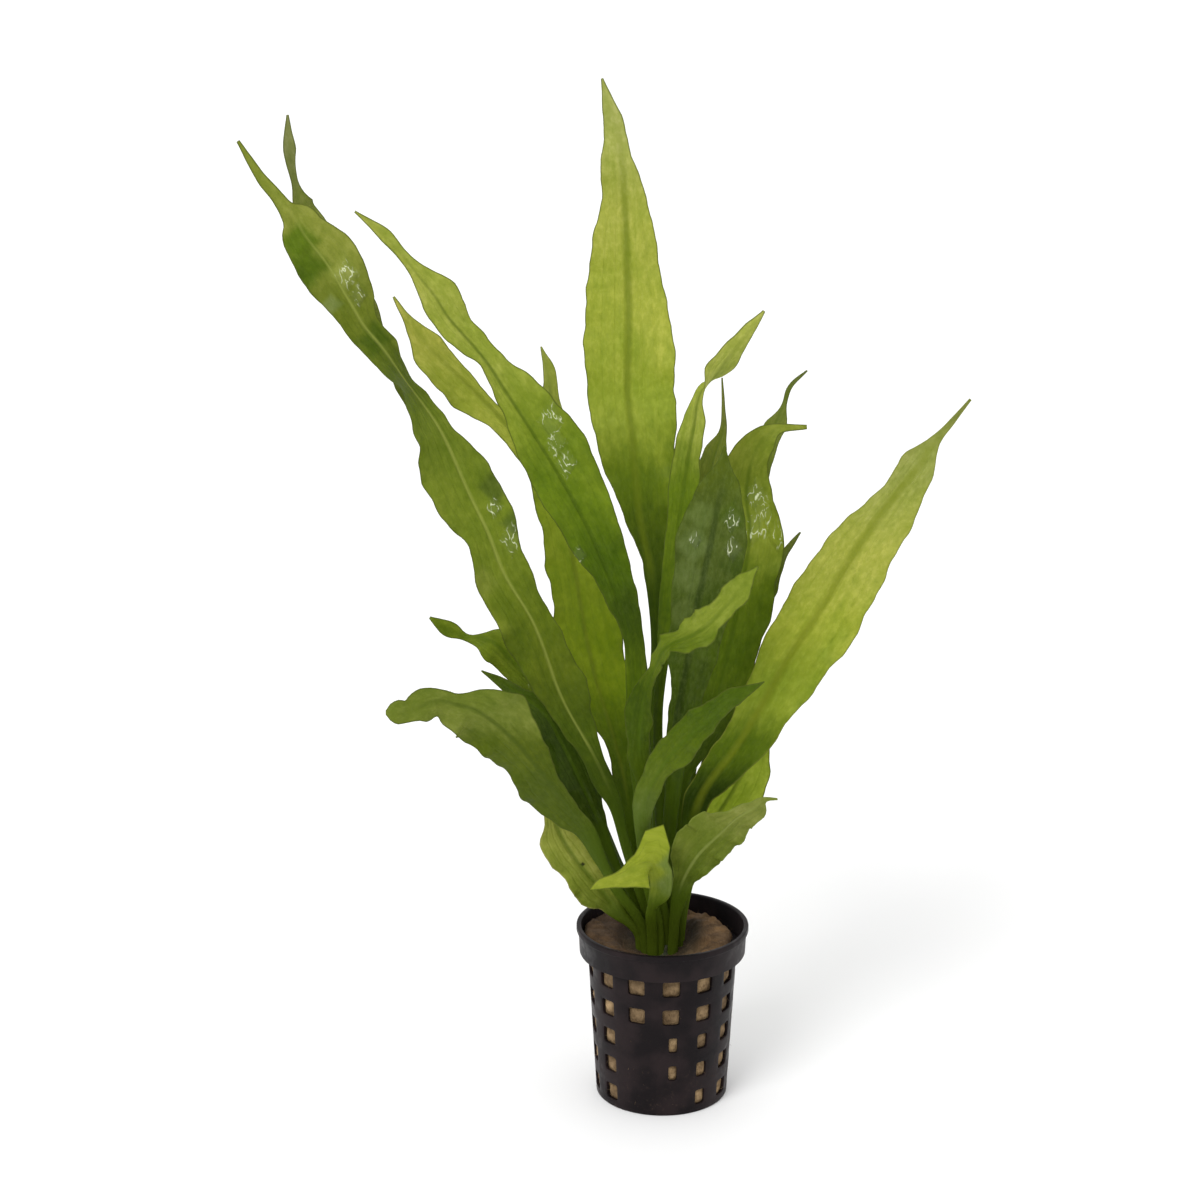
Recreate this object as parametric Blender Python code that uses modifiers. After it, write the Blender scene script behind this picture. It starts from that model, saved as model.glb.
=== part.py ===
"""Potted amazon sword plant: a rosette of sword-shaped leaves in a small net pot.

Metres, +Z up. The origin is the centre of the pot's flat bottom, and the plant's front faces -Y.
"""

import math

import bmesh
import bpy
import numpy as np
from mathutils import Vector

MM = 0.001
GAP = 0.3 * MM

# Net pot: a 5 cm basket
POT_HEIGHT = 56.4 * MM
RIM_RADIUS = 27.0 * MM
RIM_LIP = 0.6 * MM
RIM_LIP_HEIGHT = 1.8 * MM
COLLAR_HEIGHT = 9.0 * MM
COLLAR_TAPER = 0.4 * MM
BODY_TOP_RADIUS = 23.4 * MM
BODY_BOTTOM_RADIUS = 20.7 * MM
WALL = 1.0 * MM
WINDOW_COLUMNS = 13
WINDOW_ROWS = 5
WINDOW_HEIGHT = 5.0 * MM
FIRST_ROW_CENTRE = 5.9 * MM
ROW_PITCH = 9.65 * MM
FRONT_WINDOW_TURN = 6.0
# (column from the front one, row from the bottom) of the windows that the blank panel closes
BLANK_PANEL = ((-1, 0), (-1, 1), (-1, 2), (0, 0))
FLOOR_DISC_RADIUS = 9.0 * MM
FLOOR_SLOT_RADIUS = 16.5 * MM

# Growing wool and crown
WOOL_TOP = 54.0 * MM
WOOL_TOP_RADIUS = 15.0 * MM
WOOL_EDGE = 53.2 * MM
WOOL_AT_CROWN = 51.5 * MM
WOOL_CLEARANCE = 0.5 * MM
WOOL_LUMP = 0.35 * MM
WOOL_STEPS = 24
SIDE_GAP = 4.2 * MM
SIDE_GAP_TURN = 62.0
SIDE_GAP_FOOT = 30.0 * MM
SIDE_GAP_RISE = 14.0 * MM
LEFT_BULGE = 2.6 * MM
LEFT_BULGE_TURN = 180.0
LEFT_BULGE_FOOT = 49.4 * MM
CROWN_RADIUS = 8.0 * MM
CROWN_BOTTOM = 42.0 * MM
CROWN_TOP = 52.6 * MM

# Leaves
STALK_RADIUS = 1.0 * MM
BLADE_FROM_WIDTH = 4.0 * MM
BLADE_THICKNESS = 0.7 * MM
RING_PITCH = 14.0 * MM
FEWEST_RINGS = 10
MOST_RINGS = 21
TIP_LENGTH_SHARE = 0.12
TIP_THICKNESS_SHARE = 0.25
THINNEST_HALF_WIDTH = 0.15 * MM
VIEW = Vector((0.0, -0.96, 0.28))

# The stations are set out flat, as the plant is seen from the eye point, and then fanned out in depth.
# Each is (x, y, z, left half-width, right half-width, roll) in millimetres and degrees, from the
# stalk's foot to the tip. With no roll the blade faces the front.
EYE = Vector((-20.0, -825.0, 403.0)) * MM
DEPTH_SPREAD = 1.9
SPREAD_FROM = 60.0 * MM
SPREAD_FULL = 120.0 * MM
LEAVES = {
    "tall_centre_leaf": ("leaf_pale", 0.12, (
        (-2.0, 1.2, 53.4, 1, 1, 10), (-3, 5, 109, 1, 1, 10), (-3, 9, 143, 1.4, 2.5, 10),
        (-4, 12, 165, 2, 5.5, 10), (-7, 14, 182, 4, 9.5, 10), (-9, 17, 200, 9.5, 12.5, 10),
        (-11, 21, 219, 12, 14, 10), (-11, 24, 236, 13.5, 14, 10), (-11, 28, 252, 13, 11.5, 10),
        (-12, 32, 276, 8, 7, 10), (-13, 33, 290, 6, 3.5, 10), (-15, 34, 303, 3, 2, 10),
        (-19, 34, 315, 0.4, 0.4, 10))),
    "long_left_leaf": ("leaf_middle", 0.15, (
        (-3.3, -2.2, 53.4, 1, 1, -15), (-12, -3, 72, 1, 1, -15), (-18, -5, 99, 1.5, 2, -15),
        (-32, -9, 133, 6, 7, -15), (-40, -11, 159, 11, 6, -15), (-49, -12, 175, 9, 8, -15),
        (-58, -13, 198, 11, 10, -15), (-67, -14, 219, 10, 4.5, -35), (-76, -15, 233, 6.5, 6, -65),
        (-83, -16, 243, 5.5, 5, -30), (-91, -17, 256, 6.5, 7.5, -15), (-98, -18, 268, 9.5, 9.5, -10),
        (-104, -18, 277, 6.5, 7, -10), (-109, -19, 284, 1.6, 1.6, -10), (-122, -20, 303, 0.5, 0.5, -10))),
    "long_left_rear_leaf": ("leaf_middle", 0.15, (
        (-5.6, 3.6, 53.4, 1, 1, -40), (-15, 10, 75, 1, 1, -40), (-24, 14, 97, 1.5, 1.5, -40),
        (-38, 16, 133, 2.5, 2.5, -40), (-54, 14, 175, 4, 4, -40), (-69, 9, 210, 5, 5, -40),
        (-81, 3, 234, 4, 4, -40), (-95, -3, 263, 7, 8.5, -35), (-102, -4, 276, 4.5, 4.5, -35),
        (-106, -6, 287, 1.2, 1.8, -35), (-109, -8, 299, 1.9, 2.1, -35), (-109, -8, 309, 0.4, 0.4, -35))),
    "left_front_leaf": ("leaf_middle", 0.15, (
        (-1.1, -1.8, 53.4, 1, 1, -15), (-7, -3, 99, 1, 1, -15), (-9.5, -4, 140, 1.5, 2, -15),
        (-14, -5, 163, 3.5, 6, -15), (-25, -7, 190, 8.5, 10.5, -15), (-36, -8, 210, 8.5, 13, -15),
        (-47, -9, 228, 4, 8.5, -15), (-54, -10, 239, 3, 5, -30), (-64, -11, 251, 5.5, 7, -20),
        (-72, -12, 263, 2.5, 4, -20), (-82, -12, 275, 1.6, 2.2, -20), (-90, -13, 282, 0.4, 0.4, -20))),
    "left_pale_leaf": ("leaf_pale", 0.12, (
        (-4.2, 0.8, 53.4, 1, 1, -25), (-10, 4, 79, 1, 1, -25), (-15, 7, 112, 3.5, 5, -25),
        (-23, 11, 143, 9.5, 11, -25), (-29, 15, 175, 8.5, 9, -25), (-36, 17, 195, 6, 6.5, -25),
        (-44, 18, 207, 4, 4.5, -25), (-52, 20, 216, 6, 3, -25), (-62, 21, 226, 9, 3.5, -25),
        (-71, 21, 235, 6.5, 5, -25), (-77, 21, 244, 2.3, 1.2, -25), (-82, 22, 251, 0.4, 0.4, -25))),
    "back_left_leaf": ("leaf_middle", 0.15, (
        (-1.2, 3.6, 53.4, 1, 1, -50), (-7, 14, 106, 1.2, 1.2, -50), (-11, 24, 142, 2.4, 2.4, -50),
        (-19, 32, 172, 4.5, 4.5, -50), (-28, 39, 196, 5, 5, -50), (-35, 43, 215, 4, 4, -50),
        (-38, 46, 231, 0.4, 0.4, -50))),
    "centre_right_leaf": ("leaf_middle", 0.15, (
        (0.4, 0.6, 53.4, 1, 1, 30), (0, 0.5, 97, 1, 1, 30), (-0.5, 1, 130, 1.6, 1.6, 30),
        (1, 2, 158, 3, 3, 30), (4, 3, 183, 4, 4, 30), (7, 4, 206, 5, 5, 30),
        (10.5, 4, 225, 2.7, 2.7, 60), (15, 4, 231, 5.5, 5.5, 120), (20, 4, 238, 4, 4, 140),
        (29, 4, 250, 0.5, 0.5, 150))),
    "back_needle_leaf": ("leaf_dark", 0.15, (
        (0.9, 2.9, 53.4, 1, 1, 50), (2, 12, 106, 1.2, 1.2, 50), (8, 20, 150, 4, 4, 50),
        (12, 26, 180, 6, 6, 50), (16, 29, 202, 5, 5, 50), (18.5, 31, 212, 1, 1, 50),
        (18, 32, 224, 0.4, 0.4, 50))),
    "dark_glossy_leaf": ("leaf_dark", 0.15, (
        (2.4, -1.2, 53.4, 1, 1, 10), (2, -3, 99, 1.2, 1.2, 10), (4, -4, 125, 3, 4.5, 10),
        (7, -6, 144, 5, 7.5, 10), (10, -8, 164, 6.5, 10.5, 10), (13, -10, 183, 9, 11.5, 10),
        (14, -11, 196, 6.5, 9, 10), (16, -12, 205, 5, 4, 10), (18, -13, 212, 0.4, 0.4, 10))),
    "right_wide_leaf": ("leaf_middle", 0.15, (
        (3.0, 1.2, 53.4, 1, 1, 15), (8, 4, 90, 1.2, 1.2, 15), (12, 6, 114, 3.5, 6, 15),
        (18, 8, 135, 6.5, 9, 15), (24, 10, 164, 8.5, 11, 15), (26, 11, 182, 8.5, 10.5, 15),
        (25, 12, 191, 8, 8.5, 15), (27, 12, 204, 7, 5.5, 15), (33, 12, 212, 2, 3, 15),
        (43, 12, 213, 0.8, 0.8, 15))),
    "back_right_leaf": ("leaf_dark", 0.15, (
        (3.0, 3.6, 53.4, 1, 1, 45), (9, 14, 99, 1.3, 1.3, 45), (16, 22, 139, 3.5, 3.5, 45),
        (25, 30, 173, 6, 6, 45), (31, 36, 195, 6, 4, 45), (35, 39, 207, 4, 5, 45),
        (39, 42, 217, 1.2, 1.2, 45), (45, 43, 224, 0.4, 0.4, 45))),
    "back_right_low_leaf": ("leaf_dark", 0.15, (
        (5.2, 2.9, 53.4, 1, 1, 45), (13, 12, 96, 1.8, 1.8, 45), (17, 15, 112, 3.5, 3.5, 45),
        (23, 19, 130, 4, 4, 45), (32, 25, 156, 4, 4, 45), (39, 29, 170, 1.5, 1.5, 45),
        (43, 31, 175, 0.4, 0.4, 45))),
    "long_right_leaf": ("leaf_pale", 0.12, (
        (5.0, -1.7, 53.4, 1, 1, 15), (7, -3, 78, 1.2, 1.2, 15), (12, -4, 101, 2.9, 4, 15),
        (22, -5, 116, 3.5, 8, 15), (30, -5, 130, 6.5, 10, 15), (37, -5, 144, 9, 12, 15),
        (47, -4, 160, 11, 13, 15), (60, -2, 182, 9, 10.5, 15), (70, 0, 196, 4.5, 8.5, 15),
        (76, 1, 204, 5.5, 5, 15), (81, 1, 211, 1.9, 1.9, 15), (91, 3, 223, 0.4, 0.4, 15))),
    "low_right_rear_leaf": ("leaf_pale", 0.12, (
        (5.6, 0.6, 53.4, 1, 1, 20), (9, 3, 72, 1.5, 1.5, 20), (15, 5, 87, 5, 6.5, 20),
        (22, 6, 99, 6.5, 10.5, 20), (28, 8, 111, 5.5, 6, 20), (32, 9, 123, 0.2, 0.2, 20))),
    "low_right_leaf": ("leaf_dark", -0.12, (
        (3.3, -5.0, 53.4, 1, 1, -10), (5, -8, 71, 2, 2.5, -10), (10, -11, 84, 8, 6.5, -10),
        (16, -14, 92, 8, 6, -10), (22, -17, 99, 3, 5.5, -10), (27, -19, 102, 1.8, 3.5, -10),
        (34, -21, 105, 0.4, 0.4, -10))),
    "curled_centre_leaf": ("leaf_middle", -0.12, (
        (-1.1, -5.0, 53.4, 1, 1, 0), (-6, -9, 77, 1, 1, 0), (-7, -11, 89, 1.3, 1.3, 0),
        (-6, -13, 102, 3.5, 3.5, 0), (-1, -15, 113, 5, 3.5, 10), (6, -18, 123, 5, 5.5, 15),
        (13, -21, 131, 5, 3, 15), (19, -24, 138, 3, 3, 15), (29, -28, 145, 0.2, 0.2, 15))),
    "curled_right_leaf": ("leaf_middle", 0.1, (
        (1.1, -3.4, 53.4, 1, 1, 0), (-4, -6, 82, 1, 1, 0), (-6, -8, 103, 1.8, 1.8, 0),
        (-8, -10, 121, 4, 4, 0), (-6, -12, 135, 4.5, 2.4, 20), (-3, -14, 145, 2.4, 2.4, 50),
        (1, -16, 153, 4, 4, 50), (7, -18, 157, 4, 4, 40), (17, -20, 164, 0.2, 0.2, 20))),
    "curly_left_leaf": ("leaf_pale", 0.12, (
        (-6.6, 1.4, 53.4, 1, 1, -20), (-15, 4, 70, 1, 1, -20), (-23, 6, 90, 1.3, 1.3, -20),
        (-30, 7, 112, 3, 3, -20), (-38, 8, 130, 5, 5, -20), (-46, 9, 139, 5.5, 5, -20),
        (-53, 9, 146, 6, 4.5, -20), (-60, 10, 147, 1.6, 1.6, -40), (-66, 10, 150, 2.8, 2.5, -20),
        (-72, 10, 154, 0.4, 0.4, -20))),
    "drooping_left_leaf": ("leaf_dull", -0.12, (
        (-5.5, -4.2, 53.4, 1, 1, 15), (-16, -9, 74, 1, 1, 15), (-23, -12, 91, 3, 2, 15),
        (-32, -15, 105, 9, 2.5, 15), (-40, -18, 116, 8, 5.5, 15), (-47, -21, 126, 9.5, 9, 15),
        (-52, -22, 131, 10, 13, 15), (-57, -24, 135, 10, 8, 10), (-67, -26, 138, 5.5, 4, 5),
        (-73, -28, 137, 5, 5, 5), (-80, -30, 136, 3.5, 3.5, 5), (-83, -30, 136, 0.6, 0.6, 5))),
    "shaded_left_leaf": ("leaf_dark", 0.15, (
        (-5.4, -1.0, 53.4, 1, 1, -20), (-14, 0, 74, 1, 1, -20), (-20, 1, 90, 2.3, 2.3, -20),
        (-26, 1, 104, 4, 4.5, -20), (-32, 2, 116, 6.5, 6.5, -20), (-37, 2, 125, 4.5, 4, -20),
        (-43, 3, 130, 2.5, 2.5, -20), (-56, 3, 138, 0.3, 0.3, -20))),
    "low_left_leaf": ("leaf_pale", 0.12, (
        (-7.2, -2.8, 53.4, 1, 1, -10), (-14, -4, 62, 2.4, 1.8, -10), (-20, -4, 70, 7, 4.5, -10),
        (-26, -5, 78, 6.5, 6.5, -10), (-31, -5, 86, 7, 6.5, -10), (-36, -6, 101, 0.2, 0.2, -10))),
    "small_front_leaf": ("leaf_bright", 0.1, (
        (-3.3, -6.2, 53.4, 1, 1, 0), (-4, -11, 67, 1.2, 1.2, 0), (-2, -14, 76, 2, 6.5, 0),
        (-3.5, -16, 82, 4.5, 13, 0), (-9, -19, 82, 4.5, 5, 0), (-16, -22, 81, 1.6, 1.8, 0),
        (-21, -23, 80, 2.4, 2.4, 0), (-24, -24, 79, 0.2, 0.2, 0))),
}

# Base colour and roughness of each finish
FINISHES = {
    "pot_plastic": ((0.016, 0.013, 0.015, 1), 0.42),
    "growing_wool": ((0.19, 0.12, 0.06, 1), 0.95),
    "rootstock": ((0.12, 0.10, 0.03, 1), 0.7),
    "leaf_pale": ((0.34, 0.38, 0.05, 1), 0.42),
    "leaf_middle": ((0.16, 0.25, 0.02, 1), 0.38),
    "leaf_dark": ((0.06, 0.13, 0.01, 1), 0.3),
    "leaf_dull": ((0.13, 0.19, 0.04, 1), 0.5),
    "leaf_bright": ((0.36, 0.46, 0.03, 1), 0.38),
}


def clear_scene():
    for obj in list(bpy.data.objects):
        bpy.data.objects.remove(obj, do_unlink=True)


def make_finish(name):
    colour, roughness = FINISHES[name]
    material = bpy.data.materials.new(name)
    material.use_nodes = True
    shader = material.node_tree.nodes["Principled BSDF"]
    shader.inputs["Base Color"].default_value = colour
    shader.inputs["Roughness"].default_value = roughness
    shader.inputs["Metallic"].default_value = 0.0
    return material


def make_object(name, mesh, finish, collection):
    obj = bpy.data.objects.new(name, mesh)
    obj.data.materials.append(finish)
    collection.objects.link(obj)
    return obj


def turned_mesh(name, profile, steps, first_turn, collection):
    """The plain mesh of a profile of (radius, height) points, turned round the Z axis."""
    line = bpy.data.meshes.new(name + "_profile")
    turn = math.radians(first_turn)
    points = [(r * math.cos(turn), r * math.sin(turn), z) for r, z in profile]
    line.from_pydata(points, [(i, i + 1) for i in range(len(points) - 1)], [])
    holder = bpy.data.objects.new(name + "_profile", line)
    collection.objects.link(holder)
    screw = holder.modifiers.new("Turn", "SCREW")
    screw.steps = steps
    screw.render_steps = steps
    screw.use_merge_vertices = True
    screw.merge_threshold = 0.00001
    graph = bpy.context.evaluated_depsgraph_get()
    mesh = bpy.data.meshes.new_from_object(holder.evaluated_get(graph))
    mesh.name = name
    bpy.data.objects.remove(holder, do_unlink=True)
    return mesh


def window_levels():
    """The heights of the lower and upper edge of each row of windows."""
    half = WINDOW_HEIGHT / 2
    centres = [FIRST_ROW_CENTRE + ROW_PITCH * row for row in range(WINDOW_ROWS)]
    return [(centre - half, centre + half) for centre in centres]


def body_radius(height):
    share = height / (POT_HEIGHT - COLLAR_HEIGHT)
    return BODY_BOTTOM_RADIUS + (BODY_TOP_RADIUS - BODY_BOTTOM_RADIUS) * share


def pot_profile():
    """The pot's outer side from the rim down to the middle of the floor."""
    collar_foot = POT_HEIGHT - COLLAR_HEIGHT
    collar_radius = RIM_RADIUS - RIM_LIP
    lip_foot = POT_HEIGHT - RIM_LIP_HEIGHT
    profile = [(RIM_RADIUS, POT_HEIGHT), (RIM_RADIUS, lip_foot), (collar_radius, lip_foot)]
    profile += [(collar_radius - COLLAR_TAPER, collar_foot), (BODY_TOP_RADIUS, collar_foot)]
    for low, high in reversed(window_levels()):
        profile += [(body_radius(high), high), (body_radius(low), low)]
    profile += [(BODY_BOTTOM_RADIUS, 0.0), (FLOOR_SLOT_RADIUS, 0.0), (FLOOR_DISC_RADIUS, 0.0), (0.0, 0.0)]
    return profile


def window_column(face):
    """The column of a face counted from the front window, or None on the rib between two columns."""
    middle = face.calc_center_median()
    turn = math.degrees(math.atan2(middle.x, -middle.y)) - FRONT_WINDOW_TURN
    column = turn / (360 / WINDOW_COLUMNS)
    nearest = round(column)
    if abs(column - nearest) > 0.2:
        return None
    return (nearest + WINDOW_COLUMNS // 2) % WINDOW_COLUMNS - WINDOW_COLUMNS // 2


def is_open(face):
    """Whether a face of the pot's turned shell is a window or a slot in the floor."""
    column = window_column(face)
    if column is None:
        return False
    middle = face.calc_center_median()
    if middle.z < 0.1 * MM:
        return column % 2 == 1 and FLOOR_DISC_RADIUS < middle.xy.length < FLOOR_SLOT_RADIUS
    for row, (low, high) in enumerate(window_levels()):
        if low < middle.z < high:
            return (column, row) not in BLANK_PANEL
    return False


def make_pot(collection):
    steps = 2 * WINDOW_COLUMNS
    first_turn = FRONT_WINDOW_TURN - 90 + 180 / steps
    mesh = turned_mesh("net_pot", pot_profile(), steps, first_turn, collection)
    shell = bmesh.new()
    shell.from_mesh(mesh)
    bmesh.ops.remove_doubles(shell, verts=shell.verts, dist=0.00001)
    bmesh.ops.recalc_face_normals(shell, faces=shell.faces)
    bmesh.ops.delete(shell, geom=[face for face in shell.faces if is_open(face)], context="FACES")
    shell.to_mesh(mesh)
    shell.free()
    pot = make_object("net_pot", mesh, make_finish("pot_plastic"), collection)
    wall = pot.modifiers.new("Wall", "SOLIDIFY")
    wall.thickness = WALL
    wall.offset = -1.0
    wall.use_even_offset = True
    return pot


def towards(turn, degrees):
    """How far a turn in radians points towards a direction in degrees, from 0 to 1."""
    return max(0.0, math.cos(turn - math.radians(degrees))) ** 2


def wool_radius(turn, height):
    """The plug's outer radius: along the wall, with soft lumps, a gap at the right rear and a bulge at the left."""
    wall = body_radius(min(height, POT_HEIGHT - COLLAR_HEIGHT)) - WALL - WOOL_CLEARANCE
    lumps = WOOL_LUMP * (1 + math.sin(5 * turn + 1.0) * math.cos(3 * turn))
    rise = min(1.0, max(0.0, (height - SIDE_GAP_FOOT) / SIDE_GAP_RISE))
    radius = wall - lumps - SIDE_GAP * rise * towards(turn, SIDE_GAP_TURN)
    if height > LEFT_BULGE_FOOT:
        radius += LEFT_BULGE * towards(turn, LEFT_BULGE_TURN)
    return radius


def wool_rise(turn):
    """How much higher the plug's torn and lumpy top is in one direction."""
    return 0.9 * MM * math.sin(2 * turn + 0.6) + 0.6 * MM * math.sin(5 * turn)


def make_wool(collection):
    floor = WALL + WOOL_CLEARANCE
    hole = (CROWN_RADIUS + GAP) / math.cos(math.pi / WOOL_STEPS)
    side = [WOOL_EDGE, 50 * MM, 48.9 * MM, 44 * MM, 36 * MM, 26 * MM, 14 * MM, floor]
    profile = [(0, CROWN_BOTTOM - GAP), (hole, CROWN_BOTTOM - GAP), (hole, WOOL_AT_CROWN)]
    profile += [(WOOL_TOP_RADIUS, WOOL_TOP)]
    profile += [(BODY_BOTTOM_RADIUS, height) for height in side]
    profile += [(0, floor)]
    mesh = turned_mesh("wool", profile, WOOL_STEPS, 0, collection)
    plug = bmesh.new()
    plug.from_mesh(mesh)
    bmesh.ops.remove_doubles(plug, verts=plug.verts, dist=0.00001)
    for vertex in plug.verts:
        turn = math.atan2(vertex.co.y, vertex.co.x)
        if vertex.co.xy.length > WOOL_TOP_RADIUS + GAP:
            radius = wool_radius(turn, vertex.co.z)
            vertex.co.x = radius * math.cos(turn)
            vertex.co.y = radius * math.sin(turn)
        if vertex.co.z > WOOL_EDGE - GAP:
            vertex.co.z += wool_rise(turn)
    bmesh.ops.recalc_face_normals(plug, faces=plug.faces)
    plug.to_mesh(mesh)
    plug.free()
    return make_object("wool", mesh, make_finish("growing_wool"), collection)


def make_crown(collection):
    edge = 1.0 * MM
    profile = [(0, CROWN_TOP), (CROWN_RADIUS - edge, CROWN_TOP), (CROWN_RADIUS, CROWN_TOP - edge)]
    profile += [(CROWN_RADIUS, CROWN_BOTTOM), (0, CROWN_BOTTOM)]
    mesh = turned_mesh("crown", profile, WOOL_STEPS, 0, collection)
    return make_object("crown", mesh, make_finish("rootstock"), collection)


def fan_out(station):
    """The station moved along its line of sight, which deepens the rosette and keeps its front view."""
    x, y, z, left, right, roll = station
    point = Vector((x, y, z)) * MM
    share = min(1.0, max(0.0, (point.z - SPREAD_FROM) / (SPREAD_FULL - SPREAD_FROM)))
    depth = point.y * (1 + (DEPTH_SPREAD - 1) * share)
    scale = (depth - EYE.y) / (point.y - EYE.y)
    return (*(EYE + (point - EYE) * scale), left * MM * scale, right * MM * scale, roll)


def along(stations):
    """The stations as a smooth row of samples, evenly spaced along the leaf."""
    knots = np.array([fan_out(station) for station in stations])
    steps = np.linalg.norm(np.diff(knots[:, :3], axis=0), axis=1)
    at = np.concatenate([[0], np.cumsum(steps)])
    count = min(MOST_RINGS, max(FEWEST_RINGS, round(at[-1] / RING_PITCH)))
    slopes = np.gradient(knots, at, axis=0)
    slopes[0] = (knots[1] - knots[0]) / steps[0]
    slopes[-1] = (knots[-1] - knots[-2]) / steps[-1]
    samples = []
    for place in np.linspace(0, at[-1], count):
        i = min(int(np.searchsorted(at, place, side="right")) - 1, len(steps) - 1)
        span = steps[i]
        t = (place - at[i]) / span
        start = (1 + 2 * t) * (1 - t) ** 2 * knots[i] + t * (1 - t) ** 2 * span * slopes[i]
        end = t * t * (3 - 2 * t) * knots[i + 1] + t * t * (t - 1) * span * slopes[i + 1]
        samples.append(start + end)
    samples = np.array(samples)
    samples[:, 3:5] = np.maximum(samples[:, 3:5], THINNEST_HALF_WIDTH)
    return samples


def leaf_frame(tangent, roll):
    """The directions across the blade and out of its face."""
    facing = (VIEW - VIEW.dot(tangent) * tangent).normalized()
    across = tangent.cross(facing)
    along_side = math.cos(math.radians(roll))
    towards_eye = math.sin(math.radians(roll))
    return across * along_side + facing * towards_eye, facing * along_side - across * towards_eye


def leaf_section(left, right, thickness, fold):
    """Eight points round a section, as (across, out): a lens over the blade, nearly round at the stalk."""
    upper = [(-1, 0), (-0.5, 0.8), (0, 1), (0.5, 0.8), (1, 0)]
    lower = [(0.5, -0.8), (0, -1), (-0.5, -0.8)]
    points = []
    for share, rise in upper + lower:
        across = share * (left if share < 0 else right)
        points.append((across, rise * thickness / 2 + fold * abs(across)))
    return points


def make_leaf(name, finish, collection):
    _, fold, stations = LEAVES[name]
    samples = along(stations)
    tangents = np.gradient(samples[:, :3], axis=0)
    leaf = bmesh.new()
    rings = []
    for i, (x, y, z, left, right, roll) in enumerate(samples):
        across, out = leaf_frame(Vector(tangents[i]).normalized(), roll)
        stalk = (BLADE_FROM_WIDTH - left - right) / (BLADE_FROM_WIDTH - 2 * STALK_RADIUS)
        stalk = min(1.0, max(0.0, stalk))
        to_tip = 1 - i / (len(samples) - 1)
        fade = min(1.0, to_tip / TIP_LENGTH_SHARE + TIP_THICKNESS_SHARE)
        thickness = (BLADE_THICKNESS + (2 * STALK_RADIUS - BLADE_THICKNESS) * stalk) * fade
        section = leaf_section(left, right, thickness, fold * (1 - stalk))
        middle = Vector((x, y, z))
        rings.append([leaf.verts.new(middle + across * a + out * b) for a, b in section])
    # The diagonals of the two sheets run alike, so that the sheets stay apart where the blade twists.
    for lower, upper in zip(rings, rings[1:]):
        for i in range(len(lower)):
            j = (i + 1) % len(lower)
            if i < len(lower) // 2:
                halves = (lower[i], lower[j], upper[j]), (lower[i], upper[j], upper[i])
            else:
                halves = (lower[i], lower[j], upper[i]), (lower[j], upper[j], upper[i])
            for half in halves:
                leaf.faces.new(half)
    leaf.faces.new(rings[0])
    leaf.faces.new(list(reversed(rings[-1])))
    bmesh.ops.recalc_face_normals(leaf, faces=leaf.faces)
    mesh = bpy.data.meshes.new(name)
    leaf.to_mesh(mesh)
    leaf.free()
    mesh.shade_smooth()
    return make_object(name, mesh, finish, collection)


def main():
    clear_scene()
    plant = bpy.data.collections.new("potted_amazon_sword_plant")
    bpy.context.scene.collection.children.link(plant)
    make_pot(plant)
    make_wool(plant)
    make_crown(plant)
    finishes = {name: make_finish(name) for name in FINISHES if name.startswith("leaf_")}
    for name, (kind, _, _) in LEAVES.items():
        make_leaf(name, finishes[kind], plant)


main()
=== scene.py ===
"""Looks of the potted amazon sword plant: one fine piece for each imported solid, their finishes,
floor, light and camera."""

import itertools
import math

import bmesh
import bpy
import numpy as np
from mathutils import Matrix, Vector, noise


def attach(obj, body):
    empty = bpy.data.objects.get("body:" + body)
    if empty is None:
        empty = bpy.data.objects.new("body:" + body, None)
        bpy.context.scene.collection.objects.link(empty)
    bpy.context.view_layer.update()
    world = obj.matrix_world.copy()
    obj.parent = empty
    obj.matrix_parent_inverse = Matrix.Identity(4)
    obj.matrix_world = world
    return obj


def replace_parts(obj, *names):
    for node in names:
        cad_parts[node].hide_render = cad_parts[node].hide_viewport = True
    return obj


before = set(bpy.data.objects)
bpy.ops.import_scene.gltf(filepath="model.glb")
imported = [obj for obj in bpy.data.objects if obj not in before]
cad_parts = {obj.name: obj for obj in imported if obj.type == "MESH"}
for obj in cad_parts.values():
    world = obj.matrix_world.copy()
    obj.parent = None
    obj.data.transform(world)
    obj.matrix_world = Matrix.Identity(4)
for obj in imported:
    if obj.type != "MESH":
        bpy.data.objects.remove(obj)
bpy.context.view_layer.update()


# NET POT
# One injection moulded basket of near-black plastic: a tapered wall with small windows, a plain
# panel where the windows are closed, a stepped collar with a lip, and a slotted floor.
MM = 0.001


class Value:
    """A number that varies over a surface. Arithmetic on it adds Math nodes."""

    def __init__(self, finish, socket):
        self.finish = finish
        self.socket = socket

    def math(self, operation, *others):
        made = self.finish.node("ShaderNodeMath", {"operation": operation}, dict(enumerate((self, *others))))
        return Value(self.finish, made.outputs[0])

    def __add__(self, other):
        return self.math("ADD", other)

    def __sub__(self, other):
        return self.math("SUBTRACT", other)

    def __rsub__(self, other):
        return (self * -1.0).math("ADD", other)

    def __mul__(self, other):
        return self.math("MULTIPLY", other)

    def __truediv__(self, other):
        return self.math("DIVIDE", other)

    def __abs__(self):
        return self.math("ABSOLUTE")

    __radd__ = __add__
    __rmul__ = __mul__

    def ease(self, low, high):
        """0 below low, 1 above high, and a soft step between them. With low above high it falls instead."""
        inputs = {0: self, 1: min(low, high), 2: max(low, high)}
        inputs.update({3: 0.0, 4: 1.0} if low < high else {3: 1.0, 4: 0.0})
        made = self.finish.node("ShaderNodeMapRange", {"interpolation_type": "SMOOTHSTEP"}, inputs)
        return Value(self.finish, made.outputs[0])


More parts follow.
